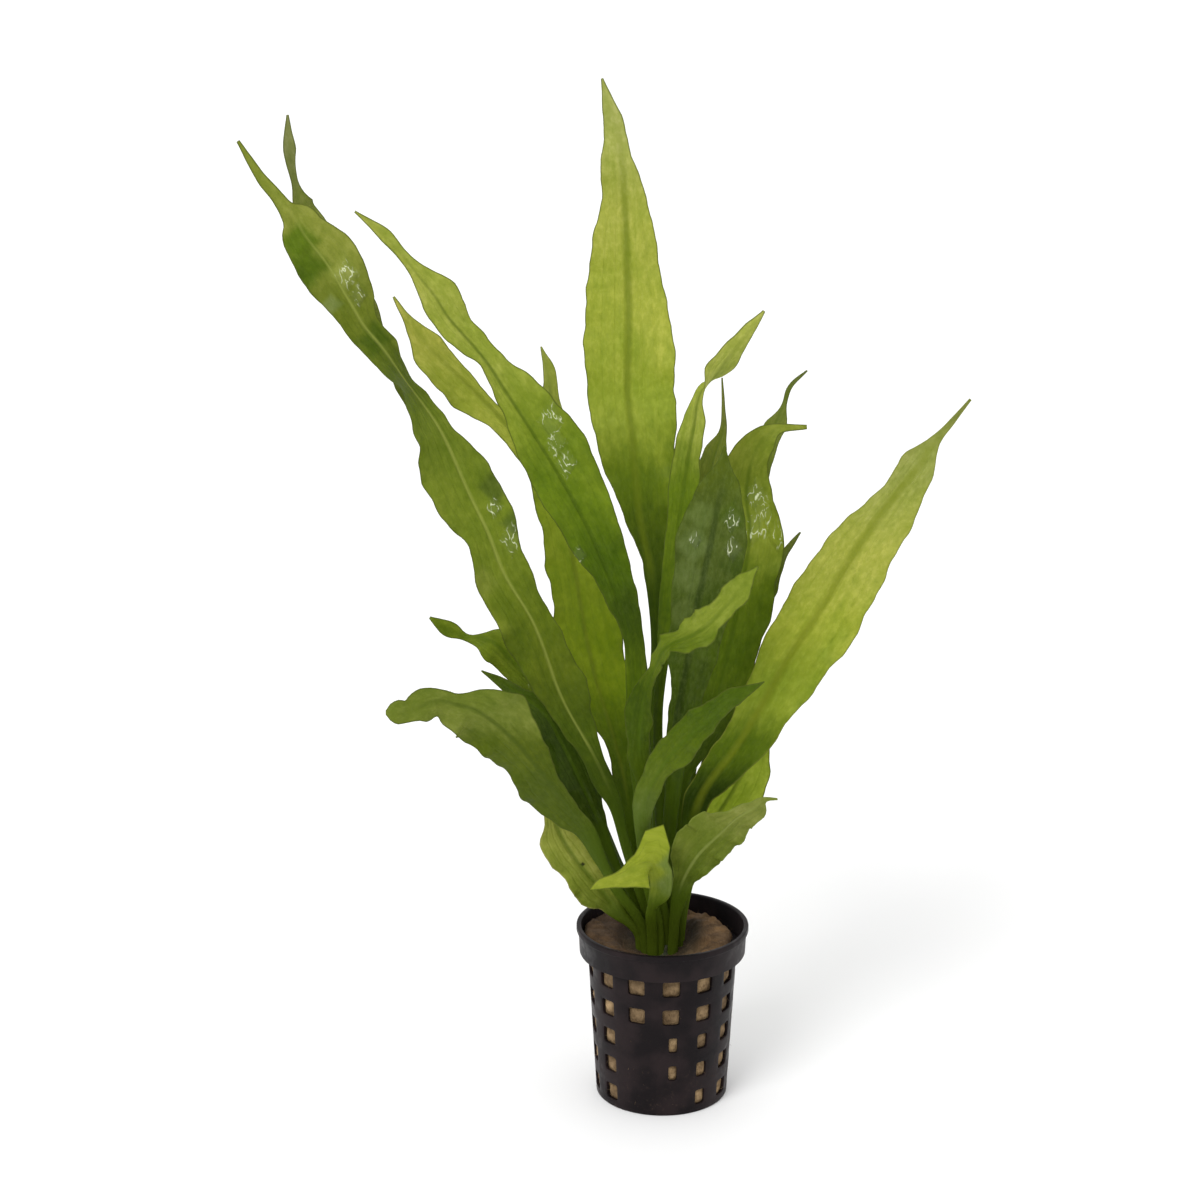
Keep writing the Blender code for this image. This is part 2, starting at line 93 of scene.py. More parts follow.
class Finish:
    """A material under construction."""

    def __init__(self, name, **fixed):
        self.material = bpy.data.materials.new(name)
        self.material.use_nodes = True
        self.tree = self.material.node_tree
        self.shader = self.tree.nodes["Principled BSDF"]
        for socket, value in fixed.items():
            self.shader.inputs[socket.replace("_", " ")].default_value = value

    def feed(self, socket, value):
        value = getattr(value, "socket", value)
        if isinstance(value, bpy.types.NodeSocket):
            self.tree.links.new(value, socket)
        else:
            socket.default_value = value

    def node(self, kind, settings, inputs):
        made = self.tree.nodes.new(kind)
        for name, value in settings.items():
            setattr(made, name, value)
        for name, value in inputs.items():
            self.feed(made.inputs[name], value)
        return made

    def attribute(self, name, output="Fac"):
        made = self.node("ShaderNodeAttribute", {"attribute_name": name}, {})
        return Value(self, made.outputs[output])

    def place(self):
        """The point on the piece, in metres."""
        return Value(self, self.node("ShaderNodeTexCoord", {}, {}).outputs["Object"])

    def parts(self, vector):
        made = self.node("ShaderNodeSeparateXYZ", {}, {"Vector": vector})
        return [Value(self, socket) for socket in made.outputs]

    def vector(self, x, y, z):
        made = self.node("ShaderNodeCombineXYZ", {}, {"X": x, "Y": y, "Z": z})
        return Value(self, made.outputs[0])

    def noise(self, place, scale, detail=3.0, rough=0.5):
        inputs = {"Vector": place, "Scale": scale, "Detail": detail, "Roughness": rough}
        return Value(self, self.node("ShaderNodeTexNoise", {}, inputs).outputs[0])

    def mix(self, factor, first, second, blend_type="MIX"):
        settings = {"data_type": "RGBA", "blend_type": blend_type}
        return Value(self, self.node("ShaderNodeMix", settings, {0: factor, 6: first, 7: second}).outputs[2])

    def bump(self, height, depth):
        made = self.node("ShaderNodeBump", {}, {"Height": height, "Distance": depth})
        self.feed(self.shader.inputs["Normal"], made.outputs[0])

    def set(self, **inputs):
        for socket, value in inputs.items():
            self.feed(self.shader.inputs[socket.replace("_", " ")], value)


def tint(red, green, blue):
    """A screen colour, 0 to 255, as a shader's linear colour."""
    parts = [c / 255 for c in (red, green, blue)]
    return (*[c / 12.92 if c <= 0.04045 else ((c + 0.055) / 1.055) ** 2.4 for c in parts], 1.0)


def pot_finish():
    finish = Finish("pot_plastic", Roughness=0.4, Specular_IOR_Level=0.1)
    place = finish.place()
    _, _, height = finish.parts(place)
    cloud = finish.noise(place, 90.0)
    grain = finish.noise(place, 2600.0, 2.0)
    damp = finish.noise(place, 240.0, 4.0).ease(0.52, 0.66)
    dust = finish.noise(place, 700.0, 4.0, 0.7).ease(0.56, 0.72) * height.ease(0.03, 0.0)
    colour = finish.mix(cloud.ease(0.35, 0.65), tint(17, 12, 14), tint(33, 25, 26))
    colour = finish.mix(dust * 0.22, colour, tint(84, 70, 60))
    finish.set(Base_Color=colour, Roughness=0.44 - damp * 0.14 + grain * 0.06 + dust * 0.3)
    finish.bump(grain * 0.35 + cloud * 0.65, 0.00012)
    return finish.material


pot_height, collar_foot = 56.4, 47.4
body_bottom, body_top = 20.7, 23.4
wall = 1.0
columns, rows = 13, 5
first_row, row_pitch, front_turn = 5.2, 9.65, 6.0
across_cell = 12
cell_width = math.pi * (body_bottom + body_top) / columns
floor_disc, floor_ring = 9, 16.5
weld = 0.03
# Windows as left, right, foot and head from the middle of their cell, and the radius of their corners
wide_window = (-2.6, 2.6, -2.6, 2.6)
narrow_window = (-1.8, 1.8, -2.5, 2.5)
half_window = (-0.6, 2.1, -2.5, 2.5)
closed_window = (-2.3, 2.3, -2.5, 2.5)
window_corner = 0.75
# (column from the front one, row from the bottom) of the windows that aren't wide
closed_windows = ((-1, 0), (-1, 1), (-1, 2), (0, 0))
half_windows = ((0, 1), (0, 2))
narrow_windows = ((1, 0), (1, 1), (1, 2))


def body_radius(height):
    return body_bottom + (body_top - body_bottom) * min(height, collar_foot) / collar_foot


def window_cell(name, low, high, window, closed=False):
    """A flat piece of wall round one window, all in millimetres from its middle."""
    mesh = bpy.data.meshes.new(name)
    cell = bmesh.new()
    steps = [i / across_cell * 2 - 1 for i in range(across_cell)]
    rim = [(t, -1) for t in steps] + [(1, t) for t in steps]
    rim += [(-t, 1) for t in steps] + [(-1, -t) for t in steps]
    left, right, foot, head = window
    rings = [[], [], []]
    for u, v in rim:
        outer = Vector((u * cell_width / 2, 0, low + (v + 1) / 2 * (high - low)))
        x = left + (u + 1) / 2 * (right - left)
        z = foot + (v + 1) / 2 * (head - foot)
        middle_x = min(max(x, left + window_corner), right - window_corner)
        middle_z = min(max(z, foot + window_corner), head - window_corner)
        middle = Vector((middle_x, 0, middle_z))
        inner = Vector((x, 0, z))
        if abs(inner.x - middle.x) > 1e-6 and abs(inner.z - middle.z) > 1e-6:
            inner = middle + (inner - middle).normalized() * window_corner
        for ring, share in zip(rings, (0.0, 0.55, 1.0)):
            ring.append(cell.verts.new((outer + (inner - outer) * share) * MM))
    for outer, inner in zip(rings, rings[1:]):
        for i in range(len(rim)):
            j = (i + 1) % len(rim)
            cell.faces.new((outer[i], outer[j], inner[j], inner[i]))
    if closed:
        hub = cell.verts.new((0, 0, 0))
        for i in range(len(rim)):
            cell.faces.new((rings[2][i], rings[2][(i + 1) % len(rim)], hub))
    cell.to_mesh(mesh)
    cell.free()
    made = bpy.data.objects.new(name, mesh)
    bpy.context.scene.collection.objects.link(made)
    return made


class Tree:
    """A Geometry Nodes tree under construction, with named inputs."""

    def __init__(self, name, **kinds):
        self.group = bpy.data.node_groups.new(name, "GeometryNodeTree")
        self.group.interface.new_socket("Geometry", in_out="INPUT", socket_type="NodeSocketGeometry")
        self.identifiers = {}
        for label, kind in kinds.items():
            socket = self.group.interface.new_socket(label, in_out="INPUT", socket_type="NodeSocket" + kind)
            self.identifiers[label] = socket.identifier
        self.group.interface.new_socket("Geometry", in_out="OUTPUT", socket_type="NodeSocketGeometry")
        self.input = self.group.nodes.new("NodeGroupInput")
        self.output = self.group.nodes.new("NodeGroupOutput")

    def node(self, kind, settings, inputs, output=0):
        made = self.group.nodes.new(kind)
        for name, value in settings.items():
            setattr(made, name, value)
        for name, value in inputs.items():
            for one in value if isinstance(value, list) else [value]:
                if isinstance(one, bpy.types.NodeSocket):
                    self.group.links.new(one, made.inputs[name])
                else:
                    made.inputs[name].default_value = one
        return made.outputs[output]

    def math(self, operation, *values):
        return self.node("ShaderNodeMath", {"operation": operation}, dict(enumerate(values)))

    def finish(self, geometry, material):
        whole = self.node("GeometryNodeRealizeInstances", {}, {"Geometry": geometry})
        whole = self.node("GeometryNodeSetMaterial", {}, {"Geometry": whole, "Material": material})
        self.group.links.new(whole, self.output.inputs[0])

    def run(self, name, mesh, **values):
        """The plain mesh that the tree makes of a mesh."""
        holder = bpy.data.objects.new(name, mesh)
        bpy.context.scene.collection.objects.link(holder)
        modifier = holder.modifiers.new("Tree", "NODES")
        modifier.node_group = self.group
        for label, value in values.items():
            modifier[self.identifiers[label]] = value
        graph = bpy.context.evaluated_depsgraph_get()
        made = bpy.data.meshes.new_from_object(holder.evaluated_get(graph))
        made.name = name
        bpy.data.objects.remove(holder, do_unlink=True)
        return made


def wall_tree():
    """Sets window cells on flat points, then bends the flat wall round into a cone."""
    kinds = dict.fromkeys(("Window", "Top_Window", "Narrow_Window", "Half_Window", "Blank"), "Object")
    sizes = {"Mean_Radius": "Float", "Foot_Radius": "Float", "Widening": "Float"}
    tree = Tree("window_wall", **kinds, **sizes, Plastic="Material")
    given = tree.input.outputs
    equal = {"data_type": "INT", "operation": "EQUAL"}
    kind = tree.node("GeometryNodeInputNamedAttribute", {"data_type": "INT"}, {"Name": "kind"})
    placed = []
    for number, label in enumerate(kinds):
        cell = tree.node("GeometryNodeObjectInfo", {}, {"Object": given[label]}, "Geometry")
        chosen = tree.node("FunctionNodeCompare", equal, {2: kind, 3: number})
        inputs = {"Points": given["Geometry"], "Selection": chosen, "Instance": cell}
        placed.append(tree.node("GeometryNodeInstanceOnPoints", {}, inputs))
    flat = tree.node("GeometryNodeJoinGeometry", {}, {"Geometry": placed})
    flat = tree.node("GeometryNodeRealizeInstances", {}, {"Geometry": flat})
    position = tree.node("GeometryNodeInputPosition", {}, {})
    along, _, height = tree.node("ShaderNodeSeparateXYZ", {}, {0: position}).node.outputs
    turn = tree.math("DIVIDE", along, given["Mean_Radius"])
    radius = tree.math("MULTIPLY_ADD", height, given["Widening"], given["Foot_Radius"])
    x = tree.math("MULTIPLY", radius, tree.math("SINE", turn))
    y = tree.math("MULTIPLY", tree.math("MULTIPLY", radius, tree.math("COSINE", turn)), -1.0)
    bent = tree.node("ShaderNodeCombineXYZ", {}, {"X": x, "Y": y, "Z": height})
    round_wall = tree.node("GeometryNodeSetPosition", {}, {"Geometry": flat, "Position": bent})
    joined = tree.node("GeometryNodeMergeByDistance", {}, {"Geometry": round_wall, "Distance": 0.00002})
    tree.finish(joined, given["Plastic"])
    return tree


def window_kind(column, row):
    """The number of a window's cell, in the order in which net_pot makes them."""
    if (column, row) in closed_windows:
        return 4
    if (column, row) in half_windows:
        return 3
    if (column, row) in narrow_windows:
        return 2
    return 1 if row == rows - 1 else 0


def turned(shell, profile, steps, first_turn):
    """Adds a profile of (radius, height) in millimetres, turned round the pot's axis, to a bmesh."""
    turns = [math.radians(first_turn + 360 * i / steps) for i in range(steps)]
    rings = []
    for radius, height in profile:
        reach = radius * MM
        ring = [(reach * math.sin(t), -reach * math.cos(t), height * MM) for t in turns]
        if radius == 0:
            ring = [(0, 0, height * MM)]
        rings.append([shell.verts.new(at) for at in ring])
    for a, b in zip(rings, rings[1:]):
        for i in range(steps):
            j = (i + 1) % steps
            face = [a[i % len(a)], a[j % len(a)], b[j % len(b)], b[i % len(b)]]
            shell.faces.new(list(dict.fromkeys(face)))


def piece(name, mesh, material):
    made = bpy.data.objects.new(name, mesh)
    mesh.materials.clear()
    mesh.materials.append(material)
    bpy.context.scene.collection.objects.link(made)
    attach(made, "root")
    return made


def pot_wall(plastic):
    """The wall with its windows, still without thickness."""
    half_cell = row_pitch / 2
    top_cell = collar_foot - first_row - (rows - 1) * row_pitch
    cells = {
        "Window": window_cell("window", -half_cell, half_cell, wide_window),
        "Top_Window": window_cell("top_window", -half_cell, top_cell, wide_window),
        "Narrow_Window": window_cell("narrow_window", -half_cell, half_cell, narrow_window),
        "Half_Window": window_cell("half_window", -half_cell, half_cell, half_window),
        "Blank": window_cell("blank", -half_cell, half_cell, closed_window, closed=True),
    }
    mean_radius = cell_width * columns / (2 * math.pi)
    points = bpy.data.meshes.new("cell_points")
    spots = [(column, row) for column in range(-(columns // 2), columns // 2 + 1) for row in range(rows)]
    offset = math.radians(front_turn) * mean_radius
    places = [((c * cell_width + offset) * MM, 0, (first_row + r * row_pitch) * MM) for c, r in spots]
    points.from_pydata(places, [], [])
    kind = points.attributes.new("kind", "INT", "POINT")
    kind.data.foreach_set("value", [window_kind(c, r) for c, r in spots])
    widening = (body_top - body_bottom) / collar_foot
    skin = wall_tree().run("net_pot", points, **cells, Plastic=plastic, Mean_Radius=mean_radius * MM,
                           Foot_Radius=body_bottom * MM, Widening=widening)
    for cell in cells.values():
        bpy.data.objects.remove(cell, do_unlink=True)
    return skin


def cut_floor_slots(shell):
    """Takes the faces of every other slot out of the floor's ring."""
    slots = []
    for face in shell.faces:
        middle = face.calc_center_median() / MM
        turn = (math.degrees(math.atan2(middle.x, -middle.y)) - front_turn) / (360 / columns)
        column = round(turn)
        in_ring = middle.z < 0.01 and floor_disc < middle.xy.length < floor_ring
        if in_ring and abs(turn - column) < 0.25 and column % 2 == 1:
            slots.append(face)
    bmesh.ops.delete(shell, geom=slots, context="FACES")


def thicken(shell):
    """Gives the wall and floor an inner side, and joins the two at every opening but the top."""
    outer_faces = list(shell.faces)
    inner = {}
    for vertex in list(shell.verts):
        at = vertex.co / MM
        height = max(at.z, wall)
        radius = min(at.xy.length, body_radius(height) - wall)
        flat = at.xy.normalized() * radius if radius > 0 else at.xy
        inner[vertex] = shell.verts.new(Vector((flat.x, flat.y, height)) * MM)
    for edge in [e for e in shell.edges if len(e.link_faces) == 1]:
        a, b = edge.verts
        if min(a.co.z, b.co.z) < (collar_foot - 0.01) * MM:
            shell.faces.new((a, b, inner[b], inner[a]))
    for face in outer_faces:
        shell.faces.new([inner[v] for v in reversed(face.verts)])


def bevelled(skin):
    """A copy of the pot's mesh with its sharp edges rounded off a little."""
    sharp = bpy.data.objects.new("net_pot_sharp", skin)
    bpy.context.scene.collection.objects.link(sharp)
    bevel = sharp.modifiers.new("Bevel", "BEVEL")
    bevel.width = 0.14 * MM
    bevel.segments = 2
    bevel.limit_method = "ANGLE"
    bevel.angle_limit = math.radians(50)
    graph = bpy.context.evaluated_depsgraph_get()
    mesh = bpy.data.meshes.new_from_object(sharp.evaluated_get(graph))
    bpy.data.objects.remove(sharp, do_unlink=True)
    mesh.set_sharp_from_angle(angle=math.radians(38))
    return mesh


def net_pot():
    plastic = pot_finish()
    skin = pot_wall(plastic)
    shell = bmesh.new()
    shell.from_mesh(skin)
    steps = columns * across_cell
    first_turn = front_turn - 180 / columns
    foot = first_row - row_pitch / 2
    base = [(body_radius(foot), foot), (20.55, 0.12), (20.1, 0), (floor_ring, 0), (floor_disc, 0), (0, 0)]
    turned(shell, base, steps, first_turn)
    bmesh.ops.remove_doubles(shell, verts=shell.verts, dist=weld * MM)
    cut_floor_slots(shell)
    bmesh.ops.recalc_face_normals(shell, faces=shell.faces)
    thicken(shell)
    collar = [(body_radius(collar_foot), collar_foot), (25.7, collar_foot), (25.92, 47.47), (26.03, 47.7)]
    collar += [(26.36, 54.3), (26.45, 54.5), (26.8, 54.58), (26.95, 54.7), (27, 54.9), (27, 56)]
    collar += [(26.93, 56.25), (26.75, 56.38), (26.5, pot_height), (25.9, pot_height), (25.65, 56.33)]
    collar += [(25.5, 56.15), (25.4, 55.8), (25.03, 48.75), (24.93, 48.5), (24.7, 48.4), (22.7, 48.4)]
    collar += [(22.45, 48.3), (body_radius(collar_foot) - wall, collar_foot)]
    turned(shell, collar, steps, first_turn)
    bmesh.ops.remove_doubles(shell, verts=shell.verts, dist=weld * MM)
    bmesh.ops.recalc_face_normals(shell, faces=shell.faces)
    shell.to_mesh(skin)
    shell.free()
    skin.shade_smooth()
    pot = piece("net_pot_moulding", bevelled(skin), plastic)
    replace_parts(pot, "net_pot")


net_pot()


# GROWING WOOL
# A plug of damp brown mineral fibre packed round the roots. It bulges a little into each window,
# is torn and uneven on top, and loose fibres stand off it.
def wool_finish():
    finish = Finish("growing_wool", Roughness=0.9, Specular_IOR_Level=0.25)
    place = finish.place()
    x, y, height = finish.parts(place)
    tuft = finish.noise(place, 260.0, 5.0, 0.62)
    strand = finish.noise(finish.vector(x * 2200.0, y * 900.0, height * 900.0), 1.0, 4.0, 0.65)
    clod = finish.noise(place, 75.0, 2.0)
    # Painted shade: a paler copy of the wool for the sides, lit in the windows, and a darker copy for the
    # top, in the leaves' shade.
    top = height.ease(0.0475, 0.053)
    light = finish.mix(tuft.ease(0.3, 0.7), tint(78, 60, 38), tint(164, 138, 102))
    shaded_top_wool = finish.mix(tuft.ease(0.2, 0.8), tint(56, 40, 25), tint(122, 92, 58))
    colour = finish.mix(top, light, shaded_top_wool)
    colour = finish.mix(strand.ease(0.42, 0.62) * (0.45 - top * 0.25), colour, tint(146, 120, 84))
    colour = finish.mix(clod.ease(0.58, 0.42) * 0.5, colour, tint(62, 46, 29))
    colour = finish.mix(x.ease(0.002, -0.01) * top * 0.55, colour, tint(46, 33, 24))
    # Painted shade: the wool turns near black round the stalks, in the trench under the leaves.
    shade_near_stalks = (x * x + y * y).ease(0.00024, 0.0001)
    colour = finish.mix(shade_near_stalks * 0.8, colour, tint(32, 27, 15))
    finish.set(Base_Color=colour, Roughness=0.95 - tuft * 0.2)
    finish.bump(strand * 0.5 + tuft, 0.0008)
    return finish.material


plug_foot, plug_edge, crown_hole = 1.5, 52.3, 8.2
# Turns in degrees from the right: the gap at the right rear, the stalks, and the clefts beside them
gap_turn, stalks_turn, cleft_turn, back_cleft_turn = 62.0, 258, 205, 100
gap_foot, gap_rise, gap_width = 30, 14, 4.4
left_chunk_foot, left_chunk_bulge = 48.6, 2.6


def wool_side(turn, height):
    """The plug's outer radius in millimetres at one turn and height."""
    towards_gap = max(0.0, math.cos(turn - math.radians(gap_turn))) ** 2
    rise = min(1.0, max(0.0, (height - gap_foot) / gap_rise))
    front = turn + math.pi / 2 - math.radians(front_turn)
    at_row = math.cos(2 * math.pi * (height - first_row) / row_pitch)
    bulge = max(0.0, math.cos(columns * front)) * max(0.0, at_row)
    radius = body_radius(height) - wall - 0.25 + 0.6 * min(1.0, 2.0 * bulge)
    radius -= gap_width * rise * towards_gap
    if height > left_chunk_foot:
        left = max(0.0, math.cos(turn - math.pi)) ** 2
        radius += left_chunk_bulge * left * min(1.0, (height - left_chunk_foot) / 1.2)
    return radius


def stalk_side(turn):
    """1 at the front, where the stalks stand close to the rim, and 0 away from there."""
    return max(0.0, math.cos(turn - math.radians(stalks_turn))) ** 1.5


def wool_top(turn, radius):
    """The plug's top height in millimetres: a chunk at the right and one at the left, with clefts
    beside the stalks and a pit in front of them."""
    lump = noise.noise(Vector((radius * math.cos(turn) * 0.16, radius * math.sin(turn) * 0.16, 3.0)))
    small = noise.noise(Vector((radius * math.cos(turn) * 0.5, radius * math.sin(turn) * 0.5, 9.0)))
    height = 53.9 + 0.9 * math.sin(2 * turn + 0.6) + 1.2 * lump + 0.7 * small
    cleft = math.exp(-((radius - 11.5) / 2.4) ** 2) * max(0.0, math.cos(turn - math.radians(cleft_turn))) ** 2
    pit = math.exp(-((radius - 12.0) / 4.6) ** 2) * stalk_side(turn)
    at_back = max(0.0, math.cos(turn - math.radians(back_cleft_turn))) ** 3
    back_cleft = math.exp(-((radius - 12.0) / 2.2) ** 2) * at_back
    return height - 5.0 * cleft - 4.0 * back_cleft - 7.0 * pit


def growing_wool():
    steps = 128
    turns = [2 * math.pi * i / steps for i in range(steps)]
    heights = [plug_foot + (plug_edge - plug_foot) * i / 60 for i in range(61)]
    inwards = [0.97, 0.9, 0.8, 0.7, 0.6, 0.5, 0.4, 0.3, 0.2, 0.1]
    rings = []
    plug = bmesh.new()
    for height in heights:
        ring = []
        for turn in turns:
            radius = wool_side(turn, height)
            at = Vector((math.cos(turn) * radius, math.sin(turn) * radius, height))
            rough = noise.fractal(at * 0.45, 1.0, 2.0, 4)
            radius += 0.28 * rough
            radius = min(radius, body_radius(height) - wall * 0.45 if height < 48.5 else 25.0)
            at = Vector((math.cos(turn) * radius, math.sin(turn) * radius, height))
            ring.append(plug.verts.new(at * MM))
        rings.append(ring)
    edge = [wool_side(turn, plug_edge) for turn in turns]
    for share in inwards:
        ring = []
        for turn, outer in zip(turns, edge):
            radius = crown_hole + (outer - crown_hole) * share
            height = wool_top(turn, radius)
            at = Vector((math.cos(turn) * radius, math.sin(turn) * radius, height))
            height += 0.45 * noise.fractal(at * 0.5, 1.0, 2.0, 4)
            if share == inwards[0]:
                height = min(height, 53.4)
            foot = 51.2 - 4.0 * stalk_side(turn)
            height = foot + (height - foot) * min(1.0, share / 0.25)
            ring.append(plug.verts.new(Vector((at.x, at.y, height)) * MM))
        rings.append(ring)
    ring = [(math.cos(t) * crown_hole, math.sin(t) * crown_hole, 50.6 - 4.0 * stalk_side(t)) for t in turns]
    rings.append([plug.verts.new(Vector(at) * MM) for at in ring])
    for lower, upper in zip(rings, rings[1:]):
        for i in range(steps):
            j = (i + 1) % steps
            plug.faces.new((lower[i], lower[j], upper[j], upper[i]))
    plug.faces.new(list(reversed(rings[0])))
    plug.faces.new(rings[-1])
    bmesh.ops.recalc_face_normals(plug, faces=plug.faces)
    mesh = bpy.data.meshes.new("wool_plug")
    plug.to_mesh(mesh)
    plug.free()
    mesh.shade_smooth()
    return mesh


def fibre_tree():
    """Scatters bent fibres over the plug's upper part and its windows."""
    tree = Tree("loose_fibres", Fibre="Object", Density="Float", Wool="Material")
    given = tree.input.outputs
    inputs = {"Mesh": given["Geometry"], "Density": given["Density"], "Seed": 4}
    points = tree.node("GeometryNodeDistributePointsOnFaces", {}, inputs).node
    spin = tree.node("FunctionNodeRandomValue", {"data_type": "FLOAT_VECTOR"},
                     {0: (-1.1, -1.1, -3.1), 1: (1.1, 1.1, 3.1), "Seed": 11})
    size = tree.node("FunctionNodeRandomValue", {}, {2: 0.5, 3: 1.2, "Seed": 5}, 1)
    turned_points = tree.node("FunctionNodeRotateEuler", {"rotation_type": "EULER", "space": "LOCAL"},
                              {0: points.outputs["Rotation"], 1: spin})
    fibre = tree.node("GeometryNodeObjectInfo", {}, {"Object": given["Fibre"]}, "Geometry")
    strands = tree.node("GeometryNodeInstanceOnPoints", {}, {
        "Points": points.outputs["Points"], "Instance": fibre, "Rotation": turned_points, "Scale": size})
    tree.finish(strands, given["Wool"])
    return tree


def fibre():
    """One bent fibre, a thin three-sided tube."""
    mesh = bpy.data.meshes.new("fibre")
    strand = bmesh.new()
    rings = []
    for i in range(5):
        t = i / 4
        middle = Vector((0.9 * math.sin(1.6 * t), 0.3 * math.sin(4 * t), 1.1 * t - 0.15)) * MM
        thick = 0.055 * MM * (1 - 0.6 * t)
        corners = [math.radians(120 * k) for k in range(3)]
        ring = [middle + Vector((math.cos(c), math.sin(c), 0)) * thick for c in corners]
        rings.append([strand.verts.new(at) for at in ring])
    for a, b in zip(rings, rings[1:]):
        for k in range(3):
            strand.faces.new((a[k], a[(k + 1) % 3], b[(k + 1) % 3], b[k]))
    strand.faces.new(list(reversed(rings[0])))
    strand.faces.new(rings[-1])
    strand.to_mesh(mesh)
    strand.free()
    made = bpy.data.objects.new("fibre", mesh)
    bpy.context.scene.collection.objects.link(made)
    return made


wool = growing_wool()
wool_material = wool_finish()
plug = piece("wool_plug", wool, wool_material)
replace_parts(plug, "wool")
strand = fibre()
fibres_per_square_metre = 170000.0
fuzz = fibre_tree().run("wool_fibres", wool.copy(), Fibre=strand, Density=fibres_per_square_metre,
                        Wool=wool_material)
bpy.data.objects.remove(strand, do_unlink=True)
piece("wool_fibres", fuzz, wool_material)


# CROWN
# The short woody rootstock that every stalk grows from, ringed with the scars of old leaves and
# half hidden by the swollen feet of the stalks.
def crown_finish():
    finish = Finish("rootstock", Roughness=0.7)
    place = finish.place()
    x, y, height = finish.parts(place)
    rings = finish.noise(finish.vector(x * 120.0, y * 120.0, height * 900.0), 1.0, 4.0)
    blotch = finish.noise(place, 300.0, 4.0)
    colour = finish.mix(rings, tint(26, 27, 9), tint(44, 46, 16))
    colour = finish.mix(blotch.ease(0.4, 0.6) * 0.6, colour, tint(36, 46, 9))
    finish.set(Base_Color=colour, Roughness=0.6 + blotch * 0.25)
    finish.bump(rings + blotch * 0.5, 0.0006)
    return finish.material


def crown():
    profile = [(0, 52.4), (2, 52.2), (4, 51.4), (5.2, 50.2), (5.5, 49.2), (5.4, 48.6), (6.2, 47.6)]
    profile += [(6.9, 46.8), (6.8, 46.2), (7.5, 45.2), (7.4, 44.2), (7.7, 43.4), (7.2, 42.4)]
    profile += [(5, 42.1), (0, 42)]
    body = bmesh.new()
    turned(body, profile, 64, 0.0)
    for vertex in body.verts:
        at = vertex.co / MM
        lump = noise.fractal(at * 0.7, 1.0, 2.0, 3)
        if at.xy.length > 0.1:
            shrink = 1 - 0.03 * (1 + lump)
            vertex.co.x *= shrink
            vertex.co.y *= shrink
        if at.z > 51:
            vertex.co.z += 0.35 * MM * lump
    bmesh.ops.recalc_face_normals(body, faces=body.faces)
    mesh = bpy.data.meshes.new("crown")
    body.to_mesh(mesh)
    body.free()
    mesh.shade_smooth()
    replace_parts(piece("rootstock_crown", mesh, crown_finish()), "crown")


crown()


# TALL LEAVES
# The full grown leaves: each is one smooth stalk that widens into a long sword-shaped blade, thin,
# damp and a little wavy at its margins, with a sunk midrib and faint veins along it.
eye = np.array([-20.0, -825.0, 403.0])
view = np.array([0.0, -0.96, 0.28])
stalk_half_width, least_half_width = 1.7, 0.15
row_spacing = 1.25
# Above this height the leaves fan out in depth, fully so one fan_rise higher
fan_foot, fan_rise, fan_share = 60.0, 60.0, 0.9
# A stalk's first station times these, for where it runs down into the crown
into_crown = (0.94, 0.94, 0.875)


def fan_out(station):
    """A station moved along its line of sight from the eye point, as the solids are."""
    point = np.array(station[:3], float)
    share = min(1.0, max(0.0, (point[2] - fan_foot) / fan_rise))
    depth = point[1] * (1 + fan_share * share)
    scale = (depth - eye[1]) / (point[1] - eye[1])
    return [*(eye + (point - eye) * scale), station[3] * scale, station[4] * scale, station[5]]


def soft_step(value, low, high):
    share = np.clip((value - low) / (high - low), 0, 1)
    return share * share * (3 - 2 * share)


def leaf_rows(stations):
    """Rows of (x, y, z, left, right, roll), evenly spaced along the leaf, and their distances."""
    knots = np.array([fan_out(station) for station in stations])
    foot = knots[0].copy()
    foot[:3] *= into_crown
    knots = np.vstack([foot, knots])
    steps = np.linalg.norm(np.diff(knots[:, :3], axis=0), axis=1)
    at = np.concatenate([[0], np.cumsum(steps)])
    slopes = np.gradient(knots, at, axis=0)
    slopes[0] = (knots[1] - knots[0]) / steps[0]
    slopes[-1] = (knots[-1] - knots[-2]) / steps[-1]
    places = np.linspace(0, at[-1], int(at[-1] / row_spacing) + 1)
    spans = np.clip(np.searchsorted(at, places, side="right") - 1, 0, len(steps) - 1)
    length = steps[spans][:, None]
    t = (places - at[spans])[:, None] / length
    rows = (1 + 2 * t) * (1 - t) ** 2 * knots[spans] + t * (1 - t) ** 2 * length * slopes[spans]
    rows += t * t * (3 - 2 * t) * knots[spans + 1] + t * t * (t - 1) * length * slopes[spans + 1]
    least = stalk_half_width * (1 - soft_step(places / at[-1], 0.25, 0.5))
    rows[:, 3:5] = np.maximum(rows[:, 3:5], np.maximum(least, least_half_width)[:, None])
    return rows, places


half_shares = np.array([0, 0.05, 0.11, 0.19, 0.29, 0.4, 0.51, 0.62, 0.72, 0.81, 0.89, 0.95, 0.985, 1.0])
shares = np.concatenate([-half_shares[:0:-1], half_shares])


def leaf_frames(rows):
    """The unit vectors across the leaf and out of its face at each row."""
    tangents = np.gradient(rows[:, :3], axis=0)
    tangents /= np.linalg.norm(tangents, axis=1)[:, None]
    facing = view - (tangents @ view)[:, None] * tangents
    facing /= np.linalg.norm(facing, axis=1)[:, None]
    side = np.cross(tangents, facing)
    roll = np.radians(rows[:, 5])[:, None]
    return side * np.cos(roll) + facing * np.sin(roll), facing * np.cos(roll) - side * np.sin(roll)


